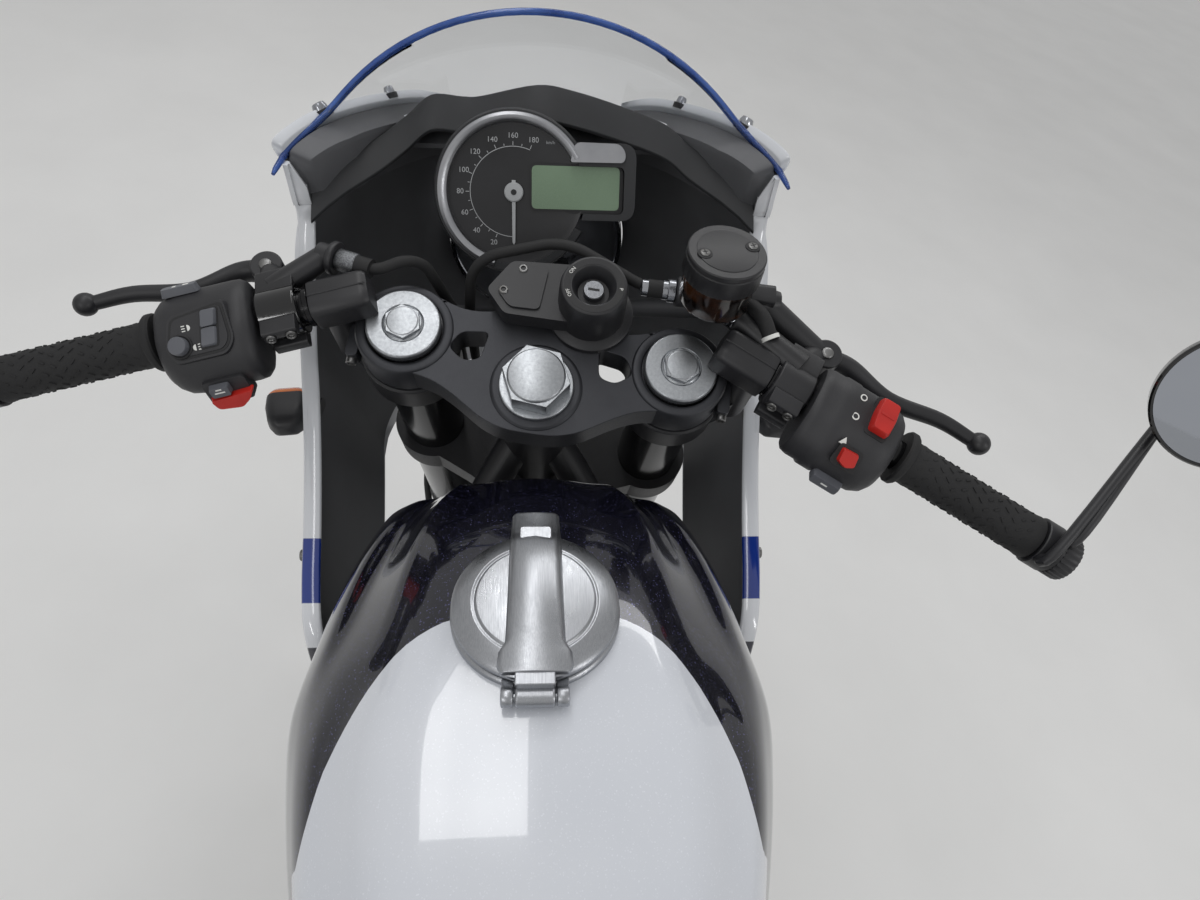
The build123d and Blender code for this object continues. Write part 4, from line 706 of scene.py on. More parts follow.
# Top yoke: the left half of its outline with the bend of each corner, and the two gaps through it
yoke = fork_piece("yoke_plate", "yoke_black", machine_grey)
half = [(56, 30), (50, 60), (FORK_OFFSET + 33, 88), (FORK_OFFSET - 30, 106), (-6, 74), (-14, 58), (-35, 26)]
bends = [10, 26, 18, 14, 26, 22, 20]
outline = rounded(half + [(x, -y) for x, y in reversed(half)], bends + bends[::-1], 6)
gaps = [rounded([(37, s * 40), (34, s * 60), (21, s * 67), (12, s * 55), (15, s * 43)], 5) for s in SIDES]
pierced(yoke, outline, gaps, -26, 0)
for side in SIDES:
    yoke.at = moved(FORK_OFFSET, side * FORK_HALF, 0)
    yoke.lathe([(27.4, -28), (35.5, -28), (35.5, -1), (34, 1.4), (30, 2.2), (27.8, 1.4), (27.4, 0)], 72, True)
    yoke.box((-6, side * 36, -16), (34, 9, 15), 3)
yoke.at = HERE
yoke.lathe([(13.2, -28), (33, -28), (33, 0.5), (31, 2.4), (25, 2.4), (24, 1.2), (13.2, 1.2)], 72, True)
yoke.done(bevel=2.2, smooth=34, segments=3, replaces=["top_yoke"])
pinch = fork_piece("yoke_bolts", "cap_alloy", dull_steel)
for side in SIDES:
    bolt(pinch, facing((FORK_OFFSET - 23, side * 136, -16), (-1, 0, 0), (0, 1, 0)), 4, 4)
    bolt(pinch, facing((-30, side * 14, -14), (-1, 0, 0), (0, 1, 0)), 3.4, 3)
pinch.done(smooth=35)

# Fork caps and the stem nut
caps = fork_piece("cap_bolts", "cap_alloy", turned_alloy)
for side in SIDES:
    caps.at = moved(FORK_OFFSET, side * FORK_HALF, 0) @ turned(14)
    caps.lathe(
        [(0, 3), (26.6, 3), (26.6, 7.6), (25.6, 9), (14.6, 9.1), (14.2, 8.3), (13.4, 8.3), (13, 9.1), (0, 9.1)], 80
    )
    hex_head(caps, 23.5, 9, 12.4, 0.8)
caps.at = turned(25)
caps.lathe([(13.4, 0.2), (26.8, 0.2), (26.8, 5), (26, 6.2), (13.4, 6.4)], 64, True)
hex_head(caps, 42, 6.2, 21, 3.4)
caps.done(bevel=0.5, smooth=30, replaces=["fork_caps"])

# Ignition lock, with its angular cover
lock = fork_piece("ignition_barrel", "lock_black", satin_black, core_black, bright_steel, white_ink)
lock.at = moved(63, -30, 0)
lock.lathe(
    [(0, 0), (31, 0), (31, 4.5), (29, 6), (24.5, 7), (24.2, 30), (23.6, 41), (22.6, 43.6), (21.4, 44.2), (15.6, 44.2),
     (14.8, 43.4), (11, 33), (0, 33)], 72,
)
lock.paint = 1
lock.lathe([(16.2, 44.1), (20.9, 44.1), (20.9, 44.5), (16.2, 44.5)], 64, True)
lock.paint = 2
lock.lathe([(0, 33), (7.4, 33), (7.4, 37.5), (6.8, 38.2), (0, 38.2)], 32)
lock.paint = 1
lock.box((0, 0, 38.3), (1.6, 8, 0.5))
lock.paint = 3
for turn, mark in ((62, "ON"), (118, "OFF"), (-90, "P")):
    letters(lock, mark, 3.6, moved(*around(18.6, radians(turn), 44.55)) @ turned(turn - 90), 0.05)
lock.now(0, HERE)
lock.prism(rounded([(44, -24), (43, 30), (60, 45), (85, 31), (90, -18), (70, -26)], 4), 6, 21.5)
lock.prism(rounded([(49, 6), (48, 27), (60, 38), (79, 28), (83, 4)], 4), 21.5, 23.4)
lock.done(bevel=1.0, smooth=36, replaces=["ignition_lock"])
lock_screws = fork_piece("lock_screws", "cap_alloy", dull_steel)
for x, y in ((60, 33), (79, 22)):
    bolt(lock_screws, moved(x, y, 21), 3.4, 3.4)
lock_screws.done(smooth=35)

# Clip-on bars: rings round the legs, risers, sleeves and tubes
bars = fork_piece("clip_on_bars", "bar_black", satin_black, tube_black, dull_steel)
for side in SIDES:
    bars.now(0, moved(FORK_OFFSET, side * FORK_HALF, 0))
    bars.lathe([(27.4, -60), (37, -60), (37, -33.5), (35.5, -32), (27.4, -32)], 64, True)
    bars.at = HERE
    near, far = side * (FORK_HALF + 22), side * 149
    bars.prism(rounded([(FORK_OFFSET - 21, near), (25, far), (47, far), (FORK_OFFSET + 21, near)], 3), -59, -33)
    bars.tube([(36, far, -59), (36, far, -10), (36, far, 14)], [12, 12, 11], 32)
    bars.at = BARS[side]
    block = rounded([(-13, -13), (14, -13), (14.6, 10), (8, 13.6), (-11, 13.6), (-14, 8)], 5, 5)
    bars.stages(block, ((5, 0.84), (7.5, 0.96), (11, 1), (44, 1), (46.4, 0.97)))
    bars.box((0, 13.8, 25.8), (1.2, 0.6, 41))
    bars.paint = 1
    bars.lathe([(0, 16), (12.3, 16), (12.3, 62), (11, 62.5), (11, 294), (0, 294)], 48)
    bars.lathe([(12.3, 46.6), (14, 47), (14, 50.4), (12.3, 51)], 48)
bars.done(bevel=0.7, smooth=34, replaces=["handlebars"])

# Grips, with raised dashes that turn from row to row
SKIN_RADIUS = 15.75
grip = fork_piece("grip_rubbers", "grip_rubber", rubber)
for side in SIDES:
    grip.at = BARS[side]
    grip.lathe(
        [(11.15, 154), (19.2, 154), (20.4, 155.4), (20.4, 158.8), (19.2, 160.4), (16.6, 161), (16.2, 164), (15.6, 190),
         (15.5, 230), (16, 262), (16.6, 266), (16.2, 268.6), (11.15, 268.6)], 64, True,
    )
    for row in range(14):
        slant = turned(38 if (row // 2) % 2 else -38)
        for step in range(12):
            angle = 2 * pi * (step + 0.5 * (row % 2)) / 12
            spot = facing(around(SKIN_RADIUS, angle, 168.5 + row * 6.8), around(1, angle), (0, 0, 1))
            grip.at = BARS[side] @ spot @ slant
            grip.prism(rectangle(5.2, 1.5, 0, 0, 0.7, 2), -0.5, 0.55, 0.2)
grip.done(smooth=40, replaces=["grips"])

# Switch housings: the outline seen along the bar, with the bend of each corner
HOUSING = [(-25, 18), (-10, 27), (18, 26), (38, 14), (45, -4), (34, -24), (-12, -26), (-26, -13)]
BENDS = [7, 9, 9, 9, 11, 9, 9, 7]
SLOPE = Vector((0.514, 0.857, 0))


def on_shell(side, x, y, z, normal):
    """A place on a housing's shell: local X runs outwards along the bar, and local Z stands off the shell."""
    return BARS[side] @ facing((x, y, z), normal, (0, 0, 1))


left = fork_piece("left_switch_box", "switch_plastic", switch_skin, core_black, grey_key, red_plastic, white_ink)
left.at = BARS[1]
shell = ((84, 0.8), (85.5, 0.9), (89, 0.985), (94, 1), (132, 1), (139, 0.97), (145, 0.88), (149, 0.77), (150, 0.7))
left.stages(rounded(HOUSING, BENDS, 5), shell)
# The face: a raised panel with a dark groove round it, a rocker in two halves, a round key and two pairs of marks
panel = on_shell(1, 15.5, 24.6, 114, (0.34, 0.94, 0))
left.at = panel
left.prism(rounded([(-19, -19), (21, -14), (27, 8), (22, 19), (-14, 19), (-21, 10)], 5, 5), -4, 2.0, 0.04)
left.paint = 1
left.prism(rounded([(-17, -16.5), (19, -12), (24.5, 7.5), (20, 16.5), (-13, 16.5), (-18.5, 9)], 4.5, 5), 1.5, 2.3)
left.paint = 0
left.prism(rounded([(-15.4, -14.6), (17.5, -10.4), (22.6, 7), (18.6, 14.8), (-12, 14.8), (-16.7, 8.4)], 4, 5), 2.0, 2.9)
left.paint = 1
left.prism(rounded([(-14.4, -13.6), (-2, -13.6), (3, 12.6), (-9.6, 12.6)], 2.4, 4), 2.7, 3.3)
left.paint = 2
shrinking(
    left, lambda d: [(-13.4 + d, -12.6 + d), (-2.8 - d, -12.6 + d), (-0.6 - d, -1.2), (-11.2 + d, -1.2)],
    ((0, 3.0), (0.3, 5.4), (1.0, 6.4)), 1.6, 4,
)
shrinking(
    left, lambda d: [(-11.0 + d, -0.6), (-0.4 - d, -0.6), (1.9 - d, 11.6 - d), (-8.8 + d, 11.6 - d)],
    ((0, 3.0), (0.3, 4.4), (1.0, 5.2)), 1.6, 4,
)
left.now(1, panel @ moved(15.4, 7.6, 0))
left.lathe([(0, 2.4), (8.2, 2.4), (8.2, 3.4), (7.4, 4), (6.6, 3.6), (0, 3.4)], 40)
left.paint = 2
left.lathe([(0, 3), (6.2, 3), (6.2, 8), (5.6, 8.8), (0, 9.1)], 40)
left.now(4, panel)
for x, y, flip in ((8.4, -3.6, 1), (5.4, 10.2, -1)):
    left.prism(ring(2.1, 16, x, y, pi / 2 * flip, pi), 2.9, 3.05)
    for line in range(3):
        left.box((x + flip * 2.6, y - 1.7 + line * 1.7, 2.98), (2.4, 0.7, 0.16))
# The flank that faces the rider: a grey slider with two marks over a wide red key
left.now(0, on_shell(1, 44, 1, 112, (0.93, 0.36, 0)))
left.prism(rectangle(31, 22, 1, 6, 4, 4), -8, 1.6, 0.05)
left.paint = 2
left.prism(rectangle(14, 8.5, 4.5, 2, 1.6, 3), 1, 6.6, 0.1)
left.paint = 3
left.prism(rounded([(-17, 6), (15.5, 8), (13, 17), (-4, 19.5), (-12, 13.5)], 2.6, 4), 0.6, 6.2, 0.08)
left.paint = 4
left.box((4.5, 2, 6.6), (7, 1.1, 0.3))
left.box((4.5, -0.6, 6.6), (4, 1.1, 0.3))
# The flank that faces ahead: a long grey key with two marks
left.now(2, on_shell(1, -21, 22.5, 128, (-0.66, 0.75, 0)))
left.prism(rectangle(26, 8, 0, 0, 3, 4), -2, 3.6, 0.1)
left.paint = 4
left.box((-5, 0, 3.6), (4, 2.6, 0.3))
left.box((3, 0, 3.6), (2.4, 2.6, 0.3))
left.done(bevel=0.7, smooth=38, replaces=["switch_left"])

right = fork_piece("right_switch_box", "switch_plastic", switch_skin, core_black, grey_key, red_plastic, white_ink)
right.at = BARS[-1]
shell = ((78, 0.88), (80, 0.94), (84, 0.965), (92, 0.965), (94, 1), (104, 1), (106, 0.975), (126, 0.975), (134, 0.96))
right.stages(rounded(HOUSING, BENDS, 5), (*shell, (141, 0.88), (145, 0.76), (146, 0.68)))
# On top: a red rocker in a dark slot
right.now(1, on_shell(-1, -4, 25.2, 124, (0.02, 1, 0)))
right.prism(rounded([(-8, -14), (9, -14), (9, 17), (-8, 17)], 3, 4), -1, 1.0)
right.now(3, on_shell(-1, -4, 25.6, 125, (0.02, 1, 0)))
shrinking(
    right,
    lambda d: [(-7 + d, -12 + d), (7 - d, -12 + d), (8 - d, 1), (7 - d, 14 - d), (-7 + d, 14 - d), (-8 + d, 1)],
    ((0, 0), (0.2, 5.2), (1.2, 7.2)), 2, 3,
)
right.box((0, 1, 7.3), (10, 1.4, 0.7))
# Towards the rider: a red key in a dark slot, and a grey key below it
right.now(1, on_shell(-1, 33, 18.2, 116, SLOPE))
right.prism(rounded([(-9, -8), (9, -8), (10, 8), (-10, 8)], 3, 4), -2, 0.9)
right.paint = 3
right.prism(rounded([(-7, -5.6), (5.6, -6.4), (7.4, 3.4), (1.5, 6.8), (-6, 4.6)], 1.6, 4), 0, 5.6, 0.14)
right.now(2, on_shell(-1, 43.5, 0, 116, (0.95, 0.3, 0)))
right.prism(rectangle(24, 9, 0, 4, 2.6, 4), -2, 4.4, 0.12)
right.paint = 4
right.box((0, 4, 4.4), (5, 1.4, 0.3))
# Signs beside the keys: a triangle and two rings
right.at = on_shell(-1, 25, 22.6, 108, SLOPE)
right.prism([(-3, 2.6), (3, 2.6), (0, -3)], 0.2, 0.7)
right.at = on_shell(-1, -2, 25.6, 108, (0, 1, 0))
for paint, low, high, radii in ((4, 0, 0.5, (2.8, 2.6)), (0, 0.3, 0.7, (1.8, 1.7))):
    right.paint = paint
    for y, radius in zip((8, -8), radii):
        right.prism(ring(radius, 20, -1, y), low, high)
right.done(bevel=0.7, smooth=38, replaces=["switch_right"])

# Perches, clamps and levers. PERCHES has the side and where the clamp starts and ends along the bar
PERCHES = ((1, 54, 82), (-1, 49, 76))
LEVER_PIVOT, LEVER_TIP = Vector((58, 205, -4)), Vector((12, 325, -6))
ADJUSTER = Vector((66, 158, 20))
MASTER = (Vector((82, -88, 20)), Vector((86, -165, 18)))
levers = fork_piece("hand_lever_set", "lever_black", satin_black, gloss_black, dull_steel, knurled)


def bar_spot(side, x, y, z):
    return BARS[side] @ Vector((x, y, z))


for side, low, high in PERCHES:
    # Clamp round the bar
    levers.now(1 if side > 0 else 0, BARS[side])
    levers.lathe([(12.4, low), (17, low), (18, low + 1), (18, high - 1), (17, high), (12.4, high)], 48, True)
    levers.paint = 0
    levers.prism(rounded([(-30, -14), (-12, -16), (-10, 15), (-30, 11)], 3), low + 1, high - 1)
    for y in (15, -15):
        levers.prism(rectangle(13, 9, 17.5 if y > 0 else 16.5, y * 0.72, 2.5), low + 2, high - 2)
    # Arm out to the pivot
    levers.at = HERE
    mirror = HERE if side > 0 else ACROSS
    foot = mirror @ bar_spot(1, -17, 2, high - 12)
    pivot, tip = mirror @ LEVER_PIVOT, mirror @ LEVER_TIP
    arm = [foot, foot.lerp(pivot, 0.5) + Vector((4, 0, 1)), pivot]
    levers.tube(smooth_line(arm, 6), [12 - 3.2 * i / 12 for i in range(13)], 20, 0.8)
    levers.at = Matrix.Translation(pivot)
    levers.lathe([(0, -12.6), (10.6, -12.6), (11.6, -11.4), (11.6, 11.4), (10.6, 12.6), (0, 12.6)], 36)
    # Blade, with a ball at its tip
    levers.at = HERE
    reach = tip - pivot
    blade = [pivot + Vector((1, side * 3, 0)), pivot + Vector((-3, side * 22, -1))]
    blade += [pivot + reach * 0.42 + Vector((-4, 0, 0)), pivot + reach * 0.75 + Vector((2, 0, 0))]
    blade = smooth_line([*blade, tip - reach.normalized() * 5], 7)
    widths = [9.5 - 4.2 * (i / (len(blade) - 1)) ** 0.6 for i in range(len(blade))]
    levers.tube(blade, widths, 20, 0.78)
    levers.ball(tip, 8.4, 14)
# Cable adjuster on the left perch
levers.now(0, HERE)
levers.tube([bar_spot(1, -17, 4, 72), ADJUSTER + Vector((1, 3, -1))], [10, 8.4], 24)
levers.at = facing(ADJUSTER, Vector((-1.9, -9.8, 0.8)))
levers.lathe([(0, -9), (7.6, -9), (8.4, -8), (8.4, 0), (6, 0.6), (6, 3)], 32)
levers.lathe([(3, 1.4), (11.4, 1.4), (12, 2.2), (12, 5.4), (11.4, 6.2), (3, 6.2)], 20)
levers.paint = 3
knob = [(3, 6.4), (7.2, 6.4), (7.8, 7.4), (7.8, 20), (7.2, 21), (6.4, 21.4), (6.4, 24.6), (5.8, 25.4), (4.2, 26)]
levers.lathe(knob, 40)
# Master cylinder beside the right perch, with its two arms
axis = (MASTER[1] - MASTER[0]).normalized()
length = (MASTER[1] - MASTER[0]).length
levers.now(0, facing(MASTER[0], axis))
cylinder = [(0, 0), (10, 0), (11, 1.2), (11, 9), (12, 10), (12, length - 12), (11, length - 10), (9, length - 1)]
levers.lathe([*cylinder, (0, length)], 40)
levers.box((0, 0, length - 16), (15, 30, 18), 4)
levers.at = HERE
levers.tube([bar_spot(-1, -14, 6, 62), MASTER[0].lerp(MASTER[1], 0.34)], [12, 9.5], 24)
levers.tube([MASTER[0].lerp(MASTER[1], 0.82), Vector((60, -201, -1))], [10.5, 10], 24)
# Clamp screws, and a nut and a screw at each pivot
levers.now(2, HERE)
for side, low, high in PERCHES:
    for z in (low + 7, high - 7):
        bolt(levers, on_shell(side, 23, 9.4, z, (1, 0.25, 0)), 3.8, 3)
    pivot = LEVER_PIVOT if side > 0 else ACROSS @ LEVER_PIVOT
    bolt(levers, Matrix.Translation(pivot + Vector((0, 0, 12.2))), 4.6, 2, False)
    bolt(levers, facing(pivot - Vector((0, 0, 12.2)), (0, 0, -1)), 5.5, 3, False)
levers.done(bevel=0.6, smooth=38, replaces=["hand_levers"])

# Reservoir, level on its neck over the master cylinder
NECK = moved(85, -113, 0)
LID_HIGH = 80
LID = moved(83, -113, LID_HIGH)
RESERVOIR = LID @ Matrix.Rotation(radians(18), 4, "Y") @ moved(0, 0, -LID_HIGH)
cup = fork_piece("brake_fluid_cup", "reservoir_amber", smoked_amber, satin_black, dull_steel, core_black)
cup.at = RESERVOIR
cup.lathe([(0, 35), (20, 35), (23.4, 37), (24.8, 40), (24.8, 62), (0, 62)], 72)
cup.now(1, NECK)
cup.lathe([(0, 29.6), (9, 29.6), (9, 34), (0, 34)], 32)
cup.at = RESERVOIR
for low, high, radius, edge in ((60.8, 75.5, 26.4, 0.5), (75.5, LID_HIGH, 26.6, 0)):
    ridged(cup, 44, radius, edge, ((low, 0.6), (low + 0.8, 0), (high - 0.8, 0), (high, 0.8)))
cup.lathe([(0, 79.6), (20.5, 79.6), (20.5, 80.3), (19.8, 80.5), (0, 80.5)], 64)
for x, y in ((7.6, -16.6), (-6.5, 15)):
    cup.now(3, RESERVOIR @ moved(x, y, 80.2))
    cup.lathe([(0, 0), (5, 0), (5, 0.7), (4.4, 0.9), (0, 0.9)], 28)
    cup.paint = 2
    cup.lathe([(0, 0.6), (3.4, 0.6), (3.4, 1.4), (2.6, 1.9), (0, 2)], 24)
    cup.paint = 3
    for turn in (0.4, 0.4 + pi / 2):
        slot = [Matrix.Rotation(turn, 2) @ Vector(p) for p in rectangle(4, 0.8)]
        cup.prism(slot, 1.8, 2.15)
cup.done(bevel=0.3, smooth=36, replaces=["brake_reservoir"])

# Brake hose fitting, bleed screw and a short pipe behind the reservoir
fittings = fork_piece("hose_fittings", "hose_black", bright_steel, rubber, white_ink)
fittings.at = facing(MASTER[0] - axis * 0.6, -axis)
banjo = [(4.6, 0), (8.4, 0), (8.4, 5), (7, 5.4), (7, 9), (5.4, 9.6), (5.4, 17), (6, 17.6), (6, 24), (4.2, 25)]
fittings.lathe(banjo, 36)
fittings.now(1, HERE)
fittings.tube(smooth_line([(78, -140, 27), (66, -150, 32), (52, -158, 28)], 5), 5.4, 20)
fittings.now(2, facing((54, -157, 28.5), Vector((-14, -8, -4))))
fittings.lathe([(5.6, 0), (6.6, 0), (6.6, 3), (5.6, 3)], 24, True)
fittings.now(0, moved(62, -128, 24))
fittings.lathe([(0, 0), (4, 0), (4, 8), (2.6, 9), (2.6, 15), (0, 15.4)], 20)
fittings.done(bevel=0.2, smooth=36)

# Bar ends and mirrors, whose two struts meet behind the glass. The left one's places are mirrored for the right
front = Vector((-0.72, -0.3, 0.62)).normalized()
back = Vector((35, 455, 75)) - front * 9
foot = bar_spot(1, 0, 0, 281)
mirrors = fork_piece("bar_end_mirrors", "mirror_black", satin_black, gloss_black, mirror_glass, knurled)
for side in SIDES:
    mirrors.now(0, BARS[side])
    mirrors.lathe(
        [(11.15, 270.2), (17.4, 270.2), (18, 271), (18, 284), (16.6, 285), (16.6, 287), (11.15, 287)], 56, True
    )
    ridged(mirrors, 30, 17.6, -0.7, ((287, 0.4), (288, 0), (297, 0), (299, 0.9), (300.2, 3)))
    mirror = HERE if side > 0 else ACROSS
    mirrors.at = mirror
    for shift, lift in ((Vector((-7, -9, 0)), 2), (Vector((7, 8, 2)), 0)):
        start = foot + shift
        path = [start + Vector((0, 0, 4)), start + Vector((1, 6, 22)), back - front * 30 + Vector((-8, -14, lift - 18))]
        path += [back - front * 22 + Vector((0, 0, -2)), back - front * 6]
        mirrors.tube(smooth_line(path, 7), [5.2 - 0.5 * sin(pi * i / 28) for i in range(29)], 18, 0.8)
    mirrors.ball(back - front * 24, 9, 12)
    mirrors.now(1, mirror @ facing(back, front))
    shell = [(0, -9), (16, -8.4), (34, -4), (45, 2), (48.6, 7.5), (49, 12.6), (47.8, 13.8), (46.4, 13.2), (46, 12)]
    mirrors.lathe([*shell, (0, 12)], 80)
    mirrors.paint = 2
    mirrors.lathe([(0, 11.8), (46, 11.8), (46, 12.5), (30, 12.7), (0, 12.8)], 80)
mirrors.done(smooth=36, replaces=["mirrors"])


# Instruments: X to the right across the dial, Y up its face, Z towards the rider
POD = facing((1195, 0, 1018), (-0.866, 0, 0.5), (0, -1, 0))
DIAL = POD @ moved(-18, 0, 0)
DIAL_ZERO, MARK_TURN = 270, 22.4  # degrees
face_black = plain("dial_black", (24, 24, 26), (34, 34, 37), 0.3, 0.42, 24, 700, 0.00001)
screen_green = plain("lcd_green", (124, 146, 122), (112, 134, 110), 0.2, 0.3, 16, 2600, 0.00001)
pale_ink = plain("dial_ink", (176, 178, 180), (164, 166, 168), 0.5, 0.6, 40, 800, 0.00001)


def arc_band(piece, profile, start, sweep, steps=72):
    """A band round local Z with this (radius, height) section, between two angles in degrees."""
    angles = [radians(start + sweep * i / steps) for i in range(steps + 1)]
    piece.loft([[around(r, angle, h) for r, h in profile] for angle in angles])


pod = bike_piece("instrument_housing", "pod_black", grained, core_black)
pod.at = DIAL
arc_band(pod, [(54.6, -30), (60.5, -30), (61.5, -26), (61.5, -3), (60, 0.4), (54.6, 0.4)], 26, 306, 120)
pod.lathe([(0, -30), (55, -30), (55, -22), (0, -22)], 72)
pod.at = POD
frame_line = [(35, -20), (77, -20), (77, 38), (20.6, 38), (28.4, 30), (33, 20.5), (68, 20.5), (68, -15), (36.4, -15)]
pod.prism(rounded(frame_line, [0.5, 12, 12, 1, 1, 0.5, 5, 5, 0.5], 6), -30, -1)
pod.paint = 1
pod.prism([(30, -16), (69, -16), (69, 21.5), (30, 21.5)], -30, -8.4)
pod.done(bevel=1.4, smooth=34, segments=3, replaces=["instrument_pod"])

dial = bike_piece("instrument_dial", "dial_face", face_black, pale_ink, screen_green, satin_alloy, core_black)
dial.at = DIAL
# Face, the display's seat, frame and glass, the bright rim and the strip over the display
dial.lathe([(0, -10), (54.6, -10), (54.6, -5.4), (50, -6.4), (0, -6.4)], 80)
dial.prism(rounded([(40, -15), (85.5, -15), (85.5, 20.5), (40, 20.5)], 5, 5), -8.4, -5.6)
dial.paint = 4
dial.prism(rounded([(12.4, -13.4), (84.4, -13.4), (84.4, 22), (12.4, 22)], 5, 5), -6.5, -4.6)
dial.paint = 2
dial.prism(rounded([(14, -12), (82.6, -12), (82.6, 20.4), (14, 20.4)], 4, 5), -4.8, -4.2)
dial.paint = 3
arc_band(dial, [(51, -6), (51.6, 0.6), (53.4, 2.6), (56, 3.2), (58.2, 2.2), (59, -0.5), (59, -4)], 28, 226)
strip = rounded([(43, 23), (86, 23.4), (87, 31), (82, 37.6), (46, 38)], [2, 4, 5, 5, 6], 5)
dial.prism(strip, -2, 2.4, 0.03)
# Scale, from 20 to 180, with a short mark between every two long ones
dial.paint = 1
for step in range(17):
    mark = DIAL_ZERO - MARK_TURN * (1 + step / 2)
    dial.at = DIAL @ moved(*around(35.4 if step % 2 else 36, radians(mark), -6.3)) @ turned(mark)
    dial.box((0, 0, 0), (1.6 if step % 2 else 2.8, 0.5, 0.24))
dial.at = DIAL
arc_band(dial, [(33.6, -6.5), (34.1, -6.5), (34.1, -6.2), (33.6, -6.2)], 68, 202)
for count in range(1, 10):
    turn = radians(DIAL_ZERO - MARK_TURN * count)
    letters(dial, str(20 * count), 5.6, moved(*around(41.6, turn, -6.35)), 0.08)
letters(dial, "km/h", 3.4, moved(28.5, 37.2, -6.35), 0.08)
# Hub and needle
dial.lathe([(0, -6.8), (7.4, -6.8), (7.4, -3.4), (6.6, -2.6), (0, -2.2)], 40)
dial.stages(rounded([(-1.5, 9), (1.5, 9), (1.1, -38), (0, -40), (-1.1, -38)], 0.3, 2), ((-4.6, 1), (-3.6, 1)))
dial.paint = 4
dial.lathe([(0, -2.3), (2.2, -2.3), (2.2, -2.05), (0, -2)], 20)
dial.done(smooth=36, replaces=["instrument_face"])

# Dash hood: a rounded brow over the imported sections. HOOD has the place across, then the place along X and the
# height, first of the crest and then of the front edge
HOOD = [
    (150, 1238, 1021, 1246, 1012), (125, 1254, 1031, 1265, 1016), (105, 1266, 1042, 1283, 1024.1),
    (85, 1276, 1055, 1295, 1027.5), (60, 1277, 1054, 1297, 1028.1), (45, 1277, 1055, 1297, 1028.1),
    (0, 1276, 1066, 1298, 1028.4), (-30, 1276, 1062, 1298, 1028.4), (-70, 1275, 1051, 1297, 1028.1),
    (-105, 1266, 1042, 1283, 1024.1), (-125, 1254, 1031, 1265, 1016), (-150, 1238, 1021, 1246, 1012),
]
HOOD_ENDS = ((176, 1214, 1008, 1222, 1003), (164, 1226, 1015, 1234, 1008))
crest_line = smooth_line([(y, crest, high) for y, crest, high, front, low in HOOD], 5)
foot_line = smooth_line([(y, front, low) for y, crest, high, front, low in HOOD], 5)
hood = bike_piece("dash_brow", "liner_black", grained)
for y, crest, high, front, low in reversed(HOOD_ENDS):
    crest_line = [(y, crest, high), *crest_line, (-y, crest, high)]
    foot_line = [(y, front, low), *foot_line, (-y, front, low)]
sections = []
for (y, x, z), (_, front, low) in zip(crest_line, foot_line):
    upper = [(x - 24, z - 17), (x - 14, z - 9), (x - 5, z - 2.4), (x, z), (x + 3, z - 1)]
    brow = [((x + front) / 2 + 1.4, (z + low) / 2), (front, low), (front - 3.4, low)]
    lower = [(x, z - 5.4), (x - 6, z - 6.2), (x - 15, z - 12.4), (x - 23.6, z - 20)]
    sections.append([(ahead, y, high) for ahead, high in upper + brow + lower])
hood.loft(sections)
hood.done(bevel=0.5, smooth=42, replaces=["dash_hood"])

# Windscreen: a clear bubble with a blue edge. SCREEN has the height of each section, how far forward its middle is,
# and its half width at SCREEN_REAR
SCREEN = ((985, 1358, 197), (1050, 1332, 194), (1125, 1284, 170))
SCREEN_REAR, SCREEN_CORNER, HALF_SCREEN, SCREEN_THICK = 1180, 1197, 187.5, 3.0


def through(column, z):
    """The value at this height on the curve through the screen's three sections."""
    total = 0.0
    for i, row in enumerate(SCREEN):
        share = row[column]
        for j, other in enumerate(SCREEN):
            if i != j:
                share *= (z - other[0]) / (row[0] - other[0])
        total += share
    return total


def screen_arc(z, inset=0.0):
    """The centre, along X, and the radius of the screen's section at this height."""
    deep, half = through(1, z) - SCREEN_REAR - inset, through(2, z) - inset
    bend = (half**2 + deep**2) / (2 * deep)
    return SCREEN_REAR + deep - bend, bend


def screen_x(y, z, inset=0.0):
    """How far forward the screen's surface is at this place."""
    centre, bend = screen_arc(z, inset)
    return centre + sqrt(max(bend**2 - y**2, 0.0))


def foot_cut(ahead):
    """The height of the screen's lower edge this far ahead of its rear corner, SCREEN_CORNER."""
    return 1002 + 0.08 * ahead


def top_cut(ahead):
    """The height of the screen's upper edge: nearly level at its rear corners, then steep."""
    climb = 1.55 * (ahead - 54)
    return 1037 + 0.18 * ahead + (climb + sqrt(climb**2 + 14**2)) / 2


def screen_height(y, cut):
    """The height where the screen's surface meets a cut, which gives a height for each place ahead."""
    low, high = 995.0, 1118.0
    for _ in range(30):
        z = (low + high) / 2
        inside = cut(screen_x(y, z) - SCREEN_CORNER) > z
        low, high = (z, high) if inside else (low, z)
    return (low + high) / 2


columns = [HALF_SCREEN * sin(pi / 2 * (i / 24 - 1)) for i in range(49)]
glass = bike_piece("screen_bubble", "screen_clear", lamp_glass)
rows, rim = [], []
for y in columns:
    low, high = screen_height(y, foot_cut), screen_height(y, top_cut)
    levels = [low + (max(high, low + 1.0) - low) * i / 12 for i in range(13)]
    outer = [(screen_x(y, z), y, z) for z in levels]
    rows.append(outer + [(screen_x(y, z, SCREEN_THICK), y, z) for z in reversed(levels)])
    rim.append(outer[-1])
glass.loft(rows)
glass.done(smooth=50, replaces=["windscreen"])
blue_edge = Paint("screen_edge", Transmission_Weight=0.55, IOR=1.45, Roughness=0.08)
tone = blue_edge.noise(40.0, 2.0)
blue_edge.colour(blue_edge.between(tone, 0, 1), (48, 80, 156), (84, 120, 196))
blue_edge.bump(blue_edge.noise(500.0, 1.0), 0.000006)
blue_edge = blue_edge.material
edge = bike_piece("screen_rim", "screen_clear", blue_edge)
rim = [Vector(p) + Vector((-0.6, 0, 0.2)) for p in rim]
